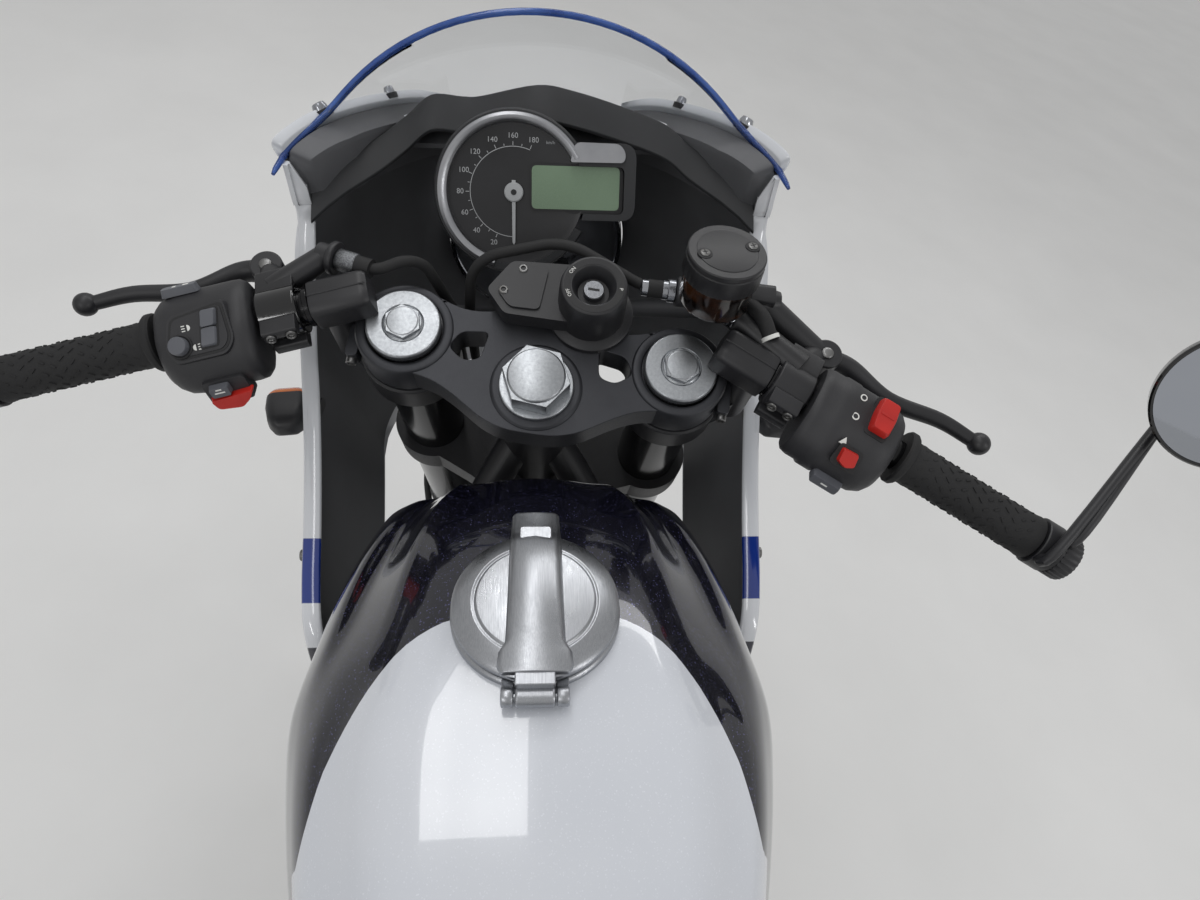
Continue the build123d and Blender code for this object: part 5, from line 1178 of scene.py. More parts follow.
tips = [(1183, 193.4, 1034.4), (1188, 192.6, 1035.4)]
line = [(x, -y, z) for x, y, z in tips] + rim + tips[::-1]
edge.tube(line, [1.4, 2.1] + [2.7] * len(rim) + [2.1, 1.4], 12)
edge.done(smooth=60)

# Fairing flanges: the shell carried up over the screen's lower corners, and the dark wall inside it. FLANGE has
# the place across and the height along a flange's top, from its rear end
FLANGE = ((190, 1036), (188.6, 1042), (186, 1047), (174, 1048.5), (163, 1048), (142, 1045), (119, 1041), (100, 1037),
          (84, 1031), (74, 1026))
FLANGE_FOOT = 996


def on_screen(y, z, out):
    """A place on the screen's surface, carried outwards by this much."""
    centre, bend = screen_arc(z)
    x, y, z = around(bend + out, asin(max(-1.0, min(1.0, y / bend))), z)
    return Vector((centre + x, y, z))


flange_top = smooth_line([(y, z, 0) for y, z in FLANGE], 5)
ears = bike_piece("fairing_ears", "fairing_white", pearl_plastic)
# The walls take the liner's black plastic painted lighter grey, as painted light in their shade
walls = bike_piece("fairing_ear_walls", "liner_black", liner_painted_light)
for side in SIDES:
    shell_rows, wall_rows = [], []
    for index, spot in enumerate(flange_top):
        y, top = side * spot.x, spot.y
        wide = 7.4 * min(1.0, 0.35 + index / 8, 0.12 + (len(flange_top) - 1 - index) / 10)
        along = index / (len(flange_top) - 1)
        foot, gap = 998 + 30 * along, 6.5 + 11 * along**1.6
        fade = max(0.0, 2 * along - 1) ** 2
        fade = fade * (3 - 2 * fade)
        base = FLANGE_FOOT + (top - 10 - FLANGE_FOOT) * fade
        room = top - 8 - base
        profile = [(-8 + 8.4 * fade, base), (-5.6 + 7.4 * fade, base), (1.4, base + min(5, room * 0.4)),
                   (2.2, base + min(9, room * 0.8)), (2.4, top - 8), (wide * 0.6, top - 3), (wide, top + 1),
                   (wide + 1, top + 3.6), (wide, top + 5), (1.2, top + 1.2), (0.3, top - 0.4),
                   (0.3, base + min(9, room * 0.8))]
        shell_rows.append([on_screen(y, z, out) for out, z in profile])
        depth = 15 + 15 * min(1.0, index / 18)
        inner = [(-gap - 2.5, foot + 2), (-3.4, top - 5), (-5, top - 3.8), (2 - depth, top - 9), (-depth, top - 14),
                 (-depth, 990)]
        wall_rows.append([on_screen(y, z, out) for out, z in inner])
    ears.loft(shell_rows)
    walls.loft(wall_rows)
ears.done(bevel=0.4, smooth=50)
walls.done(bevel=0.5, smooth=50)

screen_bolts = bike_piece("screen_bolts", "cap_alloy", bright_steel, core_black)
for side in SIDES:
    for y, z, size in ((163, 1047, 6.0), (119, 1040.4, 4.4)):
        spot = on_screen(side * y, z, 2.0)
        out = on_screen(side * y, z, 3.0) - spot
        screen_bolts.now(1, facing(spot + out * 3.4 + Vector((0, 0, 2.4)), out * 0.55 + Vector((0, 0, 0.85))))
        screen_bolts.lathe([(2, -3), (size + 1.4, -3), (size + 1.4, 1.4), (2, 1.6)], 28)
        screen_bolts.paint = 0
        screen_bolts.lathe(
            [(0, 1), (size, 1), (size, 3.4), (size * 0.8, 6.6), (size * 0.55, 7.2), (size * 0.45, 5.4), (0, 5.4)], 28
        )
        screen_bolts.at = facing(spot - out * 14 - Vector((0, 0, 15)), -out, (0, 0, 1))
        screen_bolts.lathe([(0, -2), (2.6, -2), (2.6, 7), (0, 7.6)], 20)
        screen_bolts.prism(hexagon(4.6), 0, 3.4)
screen_bolts.done(smooth=36)

# Fairing paint: white, with a slanting blue band and a dark blue end below it
fairing_paint = Paint("fairing_paint", Coat_Weight=0.9, Coat_Roughness=0.04)
spot = fairing_paint.node("TexCoord").outputs["Object"]


def bike_place(paint, spot, axis, shift):
    """How far along one of the bike's axes a point on the surface is, in millimetres."""
    along_axis = paint.node("VectorMath", {0: spot, 1: tuple(axis / MM)}, operation="DOT_PRODUCT").outputs["Value"]
    return paint.node("Math", {0: along_axis, 1: shift}, operation="SUBTRACT").outputs[0]


BIKE_AT = BIKE.translation
ahead_mm = bike_place(fairing_paint, spot, bike_ahead, BIKE_AT.dot(bike_ahead) / MM)
above_mm = bike_place(fairing_paint, spot, bike_up, BIKE_AT.dot(bike_up) / MM + 820)
slant = fairing_paint.node("Math", {0: above_mm, 1: 0.5, 2: ahead_mm}, operation="MULTIPLY_ADD").outputs[0]
wave = fairing_paint.noise(5.0, 2.0)
shade = fairing_paint.between(wave, 0, 1)
white = fairing_paint.mix(shade, (222, 224, 228), (214, 217, 222))
blue = fairing_paint.mix(shade, (24, 54, 140), (19, 44, 120))
dark = fairing_paint.mix(shade, (28, 28, 42), (38, 38, 54))
# The slanting lines under which the blue band, the white gap and the dark end start, and how soft they are
BAND_LINES, BAND_SOFT = (1005, 950, 915), 0.4
masks = [fairing_paint.between(slant, 1, 0, line - BAND_SOFT, line + BAND_SOFT) for line in BAND_LINES]
coat = white
for mask, colour in zip(masks, (blue, white, dark)):
    coat = fairing_paint.mix(mask, coat, colour)
fairing_paint.join(coat, "Base Color")
fairing_paint.rough(wave, 0.14, 0.22)
fairing_paint.bump(fairing_paint.noise(500.0, 2.0), 0.000006)
dress(fairing_paint.material, "fairing_nose", "fairing_sides")

# Rolled edges of the fairing's sides
EDGE = ((1198, 188, 1036), (1200, 188, 1010), (1199, 187.9, 985), (1168, 189.3, 946), (1130, 188.4, 907),
        (1088, 184, 879), (1045, 179.5, 858), (1002, 175, 843), (960, 170.7, 831), (930, 166.4, 817), (910, 160, 782),
        (886, 146.5, 731))
edges = bike_piece("fairing_rolled_edges", "fairing_white", fairing_paint.material)
path = smooth_line(EDGE, 5)
for side in SIDES:
    rows = []
    for index, spot in enumerate(path):
        ahead = (path[min(index + 1, len(path) - 1)] - path[max(index - 1, 0)]).normalized()
        inward = Vector((0, -1, 0))
        inward = (inward - ahead * inward.dot(ahead)).normalized()
        up = ahead.cross(inward)
        if up.z < 0 or (abs(up.z) < 0.2 and up.x > 0):
            up = -up
        wide = 12.5 * min(1.0, 0.3 + index / 6, 0.3 + (len(path) - 1 - index) / 8)
        profile = [(-0.6, -4), (-0.8, 0.4), (0.6, 1.8), (wide - 1.4, 1.8), (wide, 0.6), (wide, -1.2), (wide - 1.2, -2)]
        profile += [(3, -2), (3, -4)]
        rows.append([(p.x, p.y * side, p.z) for p in (spot + inward * a + up * b for a, b in profile)])
    edges.loft(rows)
edges.done(bevel=0.5, smooth=50)

# Front indicators: dark stalks and capsules with a smoked lens in front
blinkers = bike_piece("front_blinkers", "indicator_amber", satin_black, amber_lens)
for side in SIDES:
    blinkers.now(0, side_place(1110, 862, side * 178))
    blinkers.lathe([(0, -2), (11, -2), (11, 5), (7.6, 8), (7, 18), (0, 18)], 32)
    blinkers.at = facing((1108, side * 204, 862), (1, 0.12 * side, 0), (0, 0, 1))
    blinkers.stages(rounded(rectangle(25, 34), 9, 5), ((-22, 0.3), (-19, 0.6), (-12, 0.86), (0, 1), (12, 1.0)))
    blinkers.paint = 1
    blinkers.stages(rounded(rectangle(24, 33), 9, 5), ((11.8, 1.0), (15, 0.98), (19, 0.84), (21, 0.5)))
blinkers.done(smooth=46, replaces=["front_indicators"])

# Nuts and washers that hold the fairing's sides, and the lamp's rim
trim = bike_piece("fairing_screws", "cap_alloy", dull_steel)
for side in SIDES:
    for x, z, y in ((1140, 880, 187.5), (1000, 812, 181.5), (930, 760, 171), (1180, 770, 165)):
        bolt(trim, facing((x, side * y, z), (0, side, 0)), 4.6, 2.0)
trim.done(smooth=36)
lamp_rim = bike_piece("lamp_rim", "cap_alloy", bright_steel)
lamp_rim.at = facing((1366, 0, 868), (1, 0, 0), (0, 1, 0))
lamp_rim.lathe([(84, -2), (88.6, -2), (89, 0), (88.6, 3), (86, 4.6), (84, 3.4)], 96, True)
lamp_rim.done(smooth=50)


# Seat: a crowned pad with cross channels, its welt and its stitches. SEAT has the place along X, the half width
# and the height of the top
SEAT = ((627.6, 98, 830), (560, 116, 803), (460, 130, 795), (350, 128, 812), (290, 118, 842))
CHANNELS = (560, 515, 470, 425, 380)
RAIL_BEND, RAIL_HIGH = 330, 770
CROWN = 9.5
SEAM_AT = 0.7


def seat_base(x):
    """The height of the seat's base, just over the rails, which bend under its rear."""
    if x > RAIL_BEND:
        return RAIL_HIGH - (x - RAIL_BEND) * 0.258 + 12.2
    return RAIL_HIGH + (RAIL_BEND - x) * 0.1286 + 11.8


def crown(across):
    """How far the pad rises over its edges, from 0 at the edges to CROWN in the middle."""
    return CROWN * (1 - abs(across) ** 2.6)


spine = smooth_line(SEAT, 20)
seat = bike_piece("seat_pad", "seat_leather", leather)
rings, welt = [], {1: [], -1: []}
for x, half, top in spine:
    base = seat_base(x)
    ends = min(1.0, (spine[0].x - x + 3) / 22, (x - spine[-1].x + 3) / 22)
    ends = max(0.0, ends) ** 0.5
    dip = sum(2.6 * max(0.0, 1 - abs(x - place) / 5.0) ** 2 for place in CHANNELS)
    high = top - 1.5 - (1 - ends) * 9
    points = []
    for step in range(33):
        across = -1 + 2 * step / 32
        inside = dip * (1 if abs(across) < 0.66 else max(0.0, 1 - (abs(across) - 0.66) / 0.08))
        seam = 2.2 * max(0.0, 1 - abs(abs(across) - SEAM_AT) / 0.035) ** 2
        points.append((x, across * (half - 4), high - CROWN + crown(across) - inside - seam))
    shoulder = [(x, half - 1.2, high - 14), (x, half - 0.4, high - 20), (x, half - 3.5, (high + base) / 2 - 4)]
    shoulder += [(x, half - 2.5, base + 5), (x, half - 3.5, base)]
    rings.append(points + shoulder + [(x, -y, z) for x, y, z in reversed(shoulder)])
    for side in SIDES:
        welt[side].append(Vector((x, side * (half - 1.6), high - 13)))
seat.loft(rings)
for side in SIDES:
    seat.tube(welt[side][1:-1], 2.0, 8)
seat = seat.done(smooth=70, replaces=["seat"])
stitches = bike_piece("seat_stitches", "seat_leather", plain(
    "thread", (70, 70, 72), (56, 56, 58), 0.6, 0.7, 90, 2000, 0.00005))
for side in SIDES:
    for shift in (-0.045, 0.045):
        for x, half, top in spine[8:-8]:
            across = SEAM_AT + shift
            stitches.box((x, side * across * (half - 4), top - 11 + crown(across)), (3.2, 0.8, 0.9))
stitches.done(smooth=50)


# Tyres with grooved tread
GROOVES, SLANT, TREAD_DEPTH = 24, 1.6, 2.6
TREAD_STEPS, TREAD_LANES = 300, 60


def groove(angle, across):
    """How deep the tread is cut here, from 0 to 1, for slanting grooves that repeat round the wheel."""
    place = angle / (2 * pi) * GROOVES + abs(across) * SLANT + (0.5 if across > 0 else 0)
    phase = abs((place % 1) - 0.5) * 2
    if 0.16 < abs(across) < 0.88:
        return 1.0 if phase < 0.13 else 0.0
    return 1.0 if abs(across) < 0.035 else 0.0


def tyre_mesh(name, where, body, radius, width, rise, rim_width, node):
    """A tyre whose tread rises this much from its edges to its middle."""
    half, bead = width / 2, rim_width / 2 - 5.2
    bend = (half**2 + rise**2) / (2 * rise)
    wall = [(radius - rise - 7, half - 0.6), (radius - rise - 8, half - 0.2), (radius - rise - 16, half - 2)]
    wall += [(232, bead + 4), (227, bead + 1.2), (214.2, bead), (214.2, bead - 8)]
    wall += [(r, -y) for r, y in reversed(wall)]
    piece = Piece(name, where, body, "tyre", tyre_rubber, core_black)
    piece.at = facing((0, 0, 0), (0, 1, 0))
    rows = []
    for i in range(TREAD_STEPS):
        angle = 2 * pi * i / TREAD_STEPS
        tread = []
        for j in range(TREAD_LANES + 1):
            across = -1 + 2 * j / TREAD_LANES
            y = across * half
            tread.append((radius - bend + sqrt(bend**2 - y**2) - 0.4 - TREAD_DEPTH * groove(angle, across), y))
        rows.append([around(r, angle, y) for r, y in tread + wall])
    piece.loft(rows, closed=True)
    piece.done(smooth=28, replaces=[node])


tyre_mesh("front_tread", FRONT, "front_wheel", FRONT_RADIUS, 110, 50, 80, "front_tyre")
tyre_mesh("rear_tread", REAR, "rear_wheel", REAR_RADIUS, 150, 58, 108, "rear_tyre")

# Bolts, valves and rim lines of the wheels
WHEELS = (("front", FRONT, "front_wheel", 64, 32, 40), ("rear", REAR, "rear_wheel", -90, 35, 54))
for name, where, body, disc_y, circle, rim_half in WHEELS:
    side = 1 if disc_y > 0 else -1
    wheel = Piece(f"{name}_wheel_bolts", where, body, "cap_alloy", dull_steel, satin_black, blue_paint)
    for i in range(5):
        angle = 2 * pi * (i + 0.5) / 5
        spot = (circle * cos(angle), disc_y + side * 2.4, circle * sin(angle))
        bolt(wheel, facing(spot, (0, side, 0)), 4.6, 3.4)
    wheel.now(1, facing((0, 0, -192), (0.4, -side, 0.35)))
    wheel.lathe([(0, 0), (4, 0), (4, 12), (2.6, 13), (2.6, 30), (3.4, 31), (3.4, 39), (0, 39.6)], 16)
    wheel.paint = 2
    for face in SIDES:
        wheel.at = facing((0, face * (rim_half + 0.1), 0), (0, face, 0), (1, 0, 0))
        wheel.lathe([(218.5, 0), (222, 0), (222, 0.5), (218.5, 0.5)], 160, True)
    wheel.done(smooth=36)

# Drive chain, link by link round both sprockets
LINK = 15.875
CHAIN_Y = 93.0
DRIVE, AXLE = Vector((604, 402)), Vector((0, REAR_RADIUS))
DRIVE_TEETH, AXLE_TEETH = 15, 43
drive_reach, axle_reach = LINK / 2 / sin(pi / DRIVE_TEETH), LINK / 2 / sin(pi / AXLE_TEETH)
apart = DRIVE - AXLE
base_turn = atan2(apart.y, apart.x)
open_by = atan2(axle_reach - drive_reach, sqrt(apart.length**2 - (axle_reach - drive_reach) ** 2))
upper, lower = base_turn + pi / 2 - open_by, base_turn - pi / 2 + open_by


def on_drive(angle):
    return DRIVE + Vector((cos(angle), sin(angle))) * drive_reach


def on_axle(angle):
    return AXLE + Vector((cos(angle), sin(angle))) * axle_reach


# Closely spaced points round the chain's whole run
path = [on_axle(upper).lerp(on_drive(upper), i / 120) for i in range(120)]
path += [on_drive(upper + (lower - upper) * i / 60) for i in range(60)]
path += [on_drive(lower).lerp(on_axle(lower), i / 120) for i in range(120)]
path += [on_axle(lower - (lower - upper + 2 * pi) * i / 160) for i in range(160)]
lengths = [0.0]
for a, b in zip(path, path[1:] + path[:1]):
    lengths.append(lengths[-1] + (b - a).length)
whole = lengths[-1]
link_count = 2 * round(whole / LINK / 2)


def chain_spot(distance):
    """The point this far along the run."""
    for i in range(len(path)):
        if lengths[i + 1] >= distance:
            share = (distance - lengths[i]) / max(lengths[i + 1] - lengths[i], 1e-6)
            return path[i].lerp(path[(i + 1) % len(path)], share)


chain = bike_piece("chain_links", "chain_steel", chain_steel, dull_steel)
pins = [chain_spot(whole * i / link_count) for i in range(link_count)]
waist = [(-14.6, 0), (-13, 4.6), (-8, 6.9), (-3.4, 5.4), (0, 4.2), (3.4, 5.4), (8, 6.9), (13, 4.6), (14.6, 0)]
waist += [(x, -y) for x, y in reversed(waist[1:-1])]
for i, (a, b) in enumerate(zip(pins, pins[1:] + pins[:1])):
    middle, ahead = (a + b) / 2, (b - a).normalized()
    chain.now(0, facing((middle.x, CHAIN_Y, middle.y), (0, -1, 0), (ahead.x, 0, ahead.y)))
    reach = 6.6 if i % 2 else 4.3
    for face in SIDES:
        chain.prism(waist, face * reach, face * (reach + 1.8), 0.03)
    chain.at = facing((a.x, CHAIN_Y, a.y), (0, -1, 0))
    chain.lathe([(0, -4.2), (5.0, -4.2), (5.0, 4.2), (0, 4.2)], 10)
    chain.paint = 1
    chain.lathe([(0, -8.5), (2.3, -8.5), (2.5, -8.2), (2.5, 8.2), (2.3, 8.5), (0, 8.5)], 8)
chain.done(smooth=36, replaces=["drive_chain"])

# Rear shock with its coil spring
LOW, HIGH = Vector((450, 0, 432)), Vector((607, 0, 648))
reach = (HIGH - LOW).length
shock = bike_piece("shock_absorber", "shock_spring", gloss_black, dull_steel, satin_black)
shock.now(1, facing(LOW, HIGH - LOW))
shock.lathe([(0, 8), (8.6, 8), (8.6, reach - 12), (0, reach - 12)], 28)
shock.paint = 2
shock.lathe([(9, 20), (20, 20), (27.6, 22), (27.6, 28.5), (24, 30), (9, 30)], 56, True)
shock.lathe([(9, reach - 62), (23.8, reach - 60), (23.8, reach - 24), (20, reach - 21), (9, reach - 21)], 56, True)
shock.lathe([(20, reach - 50), (27.6, reach - 49), (27.6, reach - 42), (26, reach - 40), (20, reach - 40)], 56, True)
shock.paint = 0
shock.tube(coil(22.6, 7.5, 34.0, reach - 54.0, 260), 4.8, 12)
shock.paint = 2
for centre, half in ((LOW, 15.8), (HIGH, 12.8)):
    shock.at = facing(centre - Vector((0, half, 0)), (0, 1, 0), (1, 0, 0))
    shock.lathe([(0, 0), (11, 0), (12, 1), (12, 2 * half - 1), (11, 2 * half), (0, 2 * half)], 36)
shock.done(smooth=40, replaces=["rear_shock"])
shock_bolts = bike_piece("shock_bolts", "cap_alloy", dull_steel)
for centre, y in ((LOW, 24), (LOW, -24), (HIGH, 21), (HIGH, -21)):
    bolt(shock_bolts, side_place(centre.x, centre.z, y), 7, 3.6, False)
shock_bolts.done(smooth=36)

# Tail lamp, number-plate lamp and rear indicators
lamps = bike_piece("tail_lamps", "lamp_red", red_lens, satin_black, amber_lens, reflector)
lamps.now(1, facing((-78, 0, 874), (-1, 0, 0), (0, 1, 0)))
lamps.stages(rounded(rectangle(92, 36), 12, 6), ((0, 1), (5, 0.98), (6, 0.95)))
lamps.paint = 0
lamps.stages(rounded(rectangle(86, 31), 10, 6), ((5, 0.98), (12, 0.96), (16, 0.9), (17.6, 0.8)))
for column in range(-3, 4):
    lamps.prism(rectangle(9, 24, column * 11, 0, 2), 15.4, 17.7, 0.12)
for side in SIDES:
    lamps.now(1, side_place(-104, 736, side * 86))
    lamps.lathe([(0, 0), (11, 0), (11, 4), (8, 7), (7, 40), (8, 46), (0, 46)], 28)
    lamps.at = facing((-104, side * 149, 736), (-1, 0, 0), (0, 0, 1))
    lamps.stages(rounded(rectangle(31, 38), 9, 5), ((-15, 0.5), (-11, 0.84), (0, 1), (4, 1)))
    lamps.paint = 2
    lamps.stages(rounded(rectangle(30, 37), 9, 5), ((3.8, 1), (9, 0.97), (14, 0.8), (15.6, 0.5)))
lamps.done(bevel=0.4, smooth=44, replaces=["rear_lamps"])
holder = bike_piece("plate_lamp", "tail_black", satin_black, lamp_glass, red_lens)
holder.at = facing((-166, 0, 668), (-0.81, 0, 0.59), (0, 1, 0))
holder.stages(rounded(rectangle(44, 22), 5, 4), ((-8, 1), (5, 1), (9, 0.8)))
holder.paint = 1
holder.prism(rectangle(32, 8, 0, -8, 2), 4, 9.4)
holder.now(2, facing((-252, 0, 540), (-0.81, 0, 0.59), (0, 1, 0)))
holder.prism(rectangle(62, 26, 0, 10, 4), -6, 4, 0.05)
holder.done(bevel=0.6, smooth=38)


# Engine: rings, caps and screws on its covers
covers = bike_piece("engine_cover_rings", "cover_black", machine_grey, satin_black)
covers.at = side_place(752, 395, 109.4)
covers.lathe([(30, 0), (46, 0), (46, 2.6), (44.6, 3.6), (31.4, 3.6), (30, 2.6)], 80, True)
covers.paint = 1
covers.lathe([(0, 0), (15, 0), (15, 3.2), (13.6, 4.4), (0, 4.6)], 48)
covers.box((0, 0, 4.6), (16, 3, 2.6))
covers.now(0, side_place(690, 388, -109.4))
covers.lathe([(40, 0), (58, 0), (58, 2.8), (56.4, 4), (41.6, 4), (40, 2.8)], 90, True)
for i in range(6):
    covers.at = side_place(690, 388, -109.4) @ turned(60 * i + 14)
    covers.prism(rounded([(10, -4), (41, -6), (41, 6), (10, 4)], 2), 0, 2.4, 0.06)
covers.at = side_place(690, 388, -109.4)
covers.lathe([(0, 0), (14, 0), (14, 3), (12.6, 4), (0, 4.2)], 48)
covers.now(1, side_place(806, 398, -109.6))
covers.lathe([(0, 0), (15, 0), (16, 1), (16, 5), (14.6, 6.4), (0, 6.6)], 12)
covers.box((0, 0, 7.4), (24, 5, 5), 1.5)
covers.at = side_place(812, 348, -109.8)
covers.lathe([(8, 0), (13, 0), (13, 2.6), (12, 3.6), (9, 3.6), (8, 2.6)], 40, True)
covers.done(bevel=0.6, smooth=40)

screws = bike_piece("engine_screws", "cap_alloy", dull_steel)
for i in range(8):
    turn = radians(45 * i + 20)
    bolt(screws, side_place(752 + 56 * cos(turn), 395 + 56 * sin(turn), 110), 4.2, 3)
for x, z in ((618, 388), (640, 452), (700, 459), (760, 447), (802, 428), (846, 404), (850, 360), (802, 334), (740, 322),
             (700, 316), (650, 326), (622, 350)):
    bolt(screws, side_place(x, z, -110), 3.8, 3)
for x, z in ((590, 452), (590, 350), (652, 402)):
    bolt(screws, side_place(x, z, 113), 3.8, 3)
for x, z, radius, high in ((545, 482, 5.4, 4), (500, 503, 5.4, 4), (470, 470, 4, 3), (552, 478, 4, 3)):
    for side in SIDES:
        bolt(screws, side_place(x, z, side * 140), radius, high)
for side in SIDES:
    bolt(screws, side_place(530, 402, side * 90), 13, 3.4, False)
    bolt(screws, side_place(890, 500, side * 66), 8, 4, False)
    bolt(screws, side_place(560, 711, side * 100.2), 4, 2)
    bolt(screws, side_place(420, 747, side * 100.2), 4, 2)
screws.done(smooth=36)

# Cylinder, in its own leaning space
HEAD_LEAN = radians(12)
HEAD = facing((800, 0, 510), (sin(HEAD_LEAN), 0, cos(HEAD_LEAN)))
top_end = bike_piece("cylinder_head_parts", "cylinder_black", cast_black, satin_black, dull_steel, bright_steel)
top_end.at = HEAD
for i in range(5):
    top_end.prism(rounded(rectangle(140, 139), 20, 5), 91 + i * 9, 93.4 + i * 9)
top_end.prism(rounded(rectangle(124, 122), 22, 6), 149, 153)
top_end.prism(rounded(rectangle(70, 34), 10, 5), 176, 183.5, 0.1)
for side in SIDES:
    top_end.at = HEAD @ facing((0, side * 60, 166), (0, side, 0.1))
    top_end.lathe([(0, 0), (22, 0), (22, 4), (19, 7), (0, 7.4)], 48)
top_end.now(2, HEAD)
for x in (52, -52):
    for y in (50, -50):
        bolt(top_end, moved(x, y, 152), 5, 4, False)
for x in (26, -26):
    bolt(top_end, moved(x, 0, 182), 4, 4)
top_end.paint = 1
plug = HEAD @ facing((8, 66, 128), (0.1, 0.72, 0.7))
top_end.at = plug
top_end.lathe([(0, -6), (10, -6), (10, 4), (8.6, 6), (8.6, 34), (7, 38), (0, 38)], 28)
top_end.at = HERE
lead = [plug @ Vector((0, 0, 36)), plug @ Vector((0, 4, 56)), (800, 108, 716), (770, 84, 712), (742, 52, 690)]
top_end.tube(smooth_line(lead, 8), 3.6, 12)
top_end.done(bevel=0.7, smooth=36)

# Radiator core, fins between flat tubes, and its hoses
core = bike_piece("radiator_core", "radiator_black", dull_steel, satin_black, rubber)
CORE_PITCH = 12.4
core.paint = 1
for i in range(15):
    core.box((1014.6, 0, 508 + i * CORE_PITCH), (3, 214, 2.2))
core.paint = 0
for i in range(14):
    low = 509.4 + i * CORE_PITCH
    points = [(1012.6, -106 + j * 2.12, low + (9.6 if j % 2 else 0)) for j in range(101)]
    core.sheet([points, [(1015.8, y, z) for x, y, z in points]])
core.paint = 1
for z in (498.6, 691.4):
    core.box((1002, 0, z), (34, 226, 8), 2)
for side in SIDES:
    rows = []
    for z, share in ((493, 0.8), (497, 1), (694, 1), (698, 0.8)):
        rows.append([(1000 + x, side * 122 + y, z) for x, y in rectangle(34 * share, 30 * share, 0, 0, 6, 4)])
    core.loft(rows)
core.at = moved(1000, 122, 696)
core.lathe([(0, 0), (17, 0), (18, 1.5), (18, 8), (16, 10), (0, 10.5)], 12)
core.now(2, HERE)
LOWER_HOSE = ((998, -122, 520), (972, -122, 512), (930, -112, 486), (884, -98, 452), (846, -92, 436))
UPPER_HOSE = ((996, 118, 668), (960, 104, 664), (920, 74, 648), (880, 56, 640))
core.tube(smooth_line(LOWER_HOSE), 13, 24)
core.tube(smooth_line(UPPER_HOSE), 12, 24)
core.done(smooth=40)
clamps = bike_piece("hose_clamps", "cap_alloy", bright_steel)
for spot, ahead, size in (((982, -122, 514), (-1, 0, -0.3), 13.4), ((856, -93.4, 441), (-1, 0.15, -0.5), 13.4),
                          ((978, 111, 667), (-1, -0.4, -0.1), 12.4)):
    clamps.at = facing(spot, ahead, (0, 0, 1))
    clamps.lathe([(size - 0.6, -4), (size + 0.8, -4), (size + 0.8, 4), (size - 0.6, 4)], 40, True)
    clamps.box((size + 3, 0, 0), (6, 9, 7), 1)
clamps.done(smooth=36)

# Exhaust flange, clamps and springs, and the silencer's ends
FLOW_FROM, FLOW_TO = Vector((430, -188, 268)), Vector((75, -194, 396))
FLOW = facing(FLOW_FROM, FLOW_TO - FLOW_FROM, (0, 1, 0))
whole = (FLOW_TO - FLOW_FROM).length
exhaust = bike_piece("exhaust_clamps", "silencer_steel", sleeve_steel, satin_black, dull_steel)
exhaust.at = FLOW
exhaust.lathe([(20, -22), (23.6, -22), (24.4, -20), (24.4, 4), (23, 6), (20, 6)], 48, True)
exhaust.box((0, -28, -9), (10, 12, 16), 2)
for low, high in ((58, 74), (whole - 44, whole - 26)):
    exhaust.lathe([(48.6, low), (50.6, low), (51, low + 2), (51, high - 2), (50.6, high), (48.6, high)], 80, True)
exhaust.paint = 2
for angle in range(0, 360, 45):
    turn = radians(angle)
    for h in (66, whole - 35):
        exhaust.at = FLOW @ facing(around(50.8, turn, h), around(1, turn), (0, 0, 1))
        exhaust.lathe([(0, 0), (2.6, 0), (2.2, 1), (0, 1.4)], 12)
exhaust.now(1, FLOW)
exhaust.lathe([(49.2, 178), (51.6, 178), (51.6, 200), (49.2, 200)], 80, True)
exhaust.done(bevel=0.4, smooth=40)
springs = bike_piece("exhaust_springs", "cap_alloy", bright_steel)
for turn in (0.6, -1.0):
    springs.at = FLOW @ Matrix.Rotation(turn, 4, "Z") @ moved(31, 0, -30)
    springs.tube(coil(3.4, 12, 0, 48, 190), 0.9, 6)
springs.done(smooth=50)

# Footrest rubbers, pedal rubbers and the chain guard
rests = bike_piece("footrest_rubbers", "footrest_black", rubber, satin_alloy)
for side in SIDES:
    rests.now(0, side_place(430, 372, side * 156))
    profile = [(10, 0), (14, 0)]
    for i in range(11):
        profile += [(14.4, 2 + i * 7), (14.4, 5.6 + i * 7), (12.8, 6.4 + i * 7), (12.8, 8 + i * 7)]
    rests.lathe([*profile, (14.6, 80), (14.6, 82), (13, 83), (10, 83)], 32, True)
    rests.at = side_place(566, 330, side * 156)
    rests.lathe([(7, 0), (10.4, 0), (11, 1), (11, 28), (10.4, 29), (7, 29)], 28, True)
    rests.paint = 1
    rests.lathe([(0, 29.6), (6, 29.6), (6, 30.4), (0, 30.4)], 16)
rests.done(bevel=0.3, smooth=40)
guard = bike_piece("chain_guard", "panel_black", grained)
strip = smooth_line([(470, 93, 456), (380, 93, 441), (240, 93, 424), (120, 93, 421), (30, 93, 424)], 6)
guard.loft(
    [
        [(p.x, p.y + y, p.z + z) for y, z in ((-15, 5), (15, 5), (15, -17), (12.6, -17), (12.6, 2.6), (-15, 2.6))]
        for p in strip
    ]
)
guard.box((410, 108, 420), (22, 5, 44), 2)
guard.done(bevel=0.8, smooth=36)

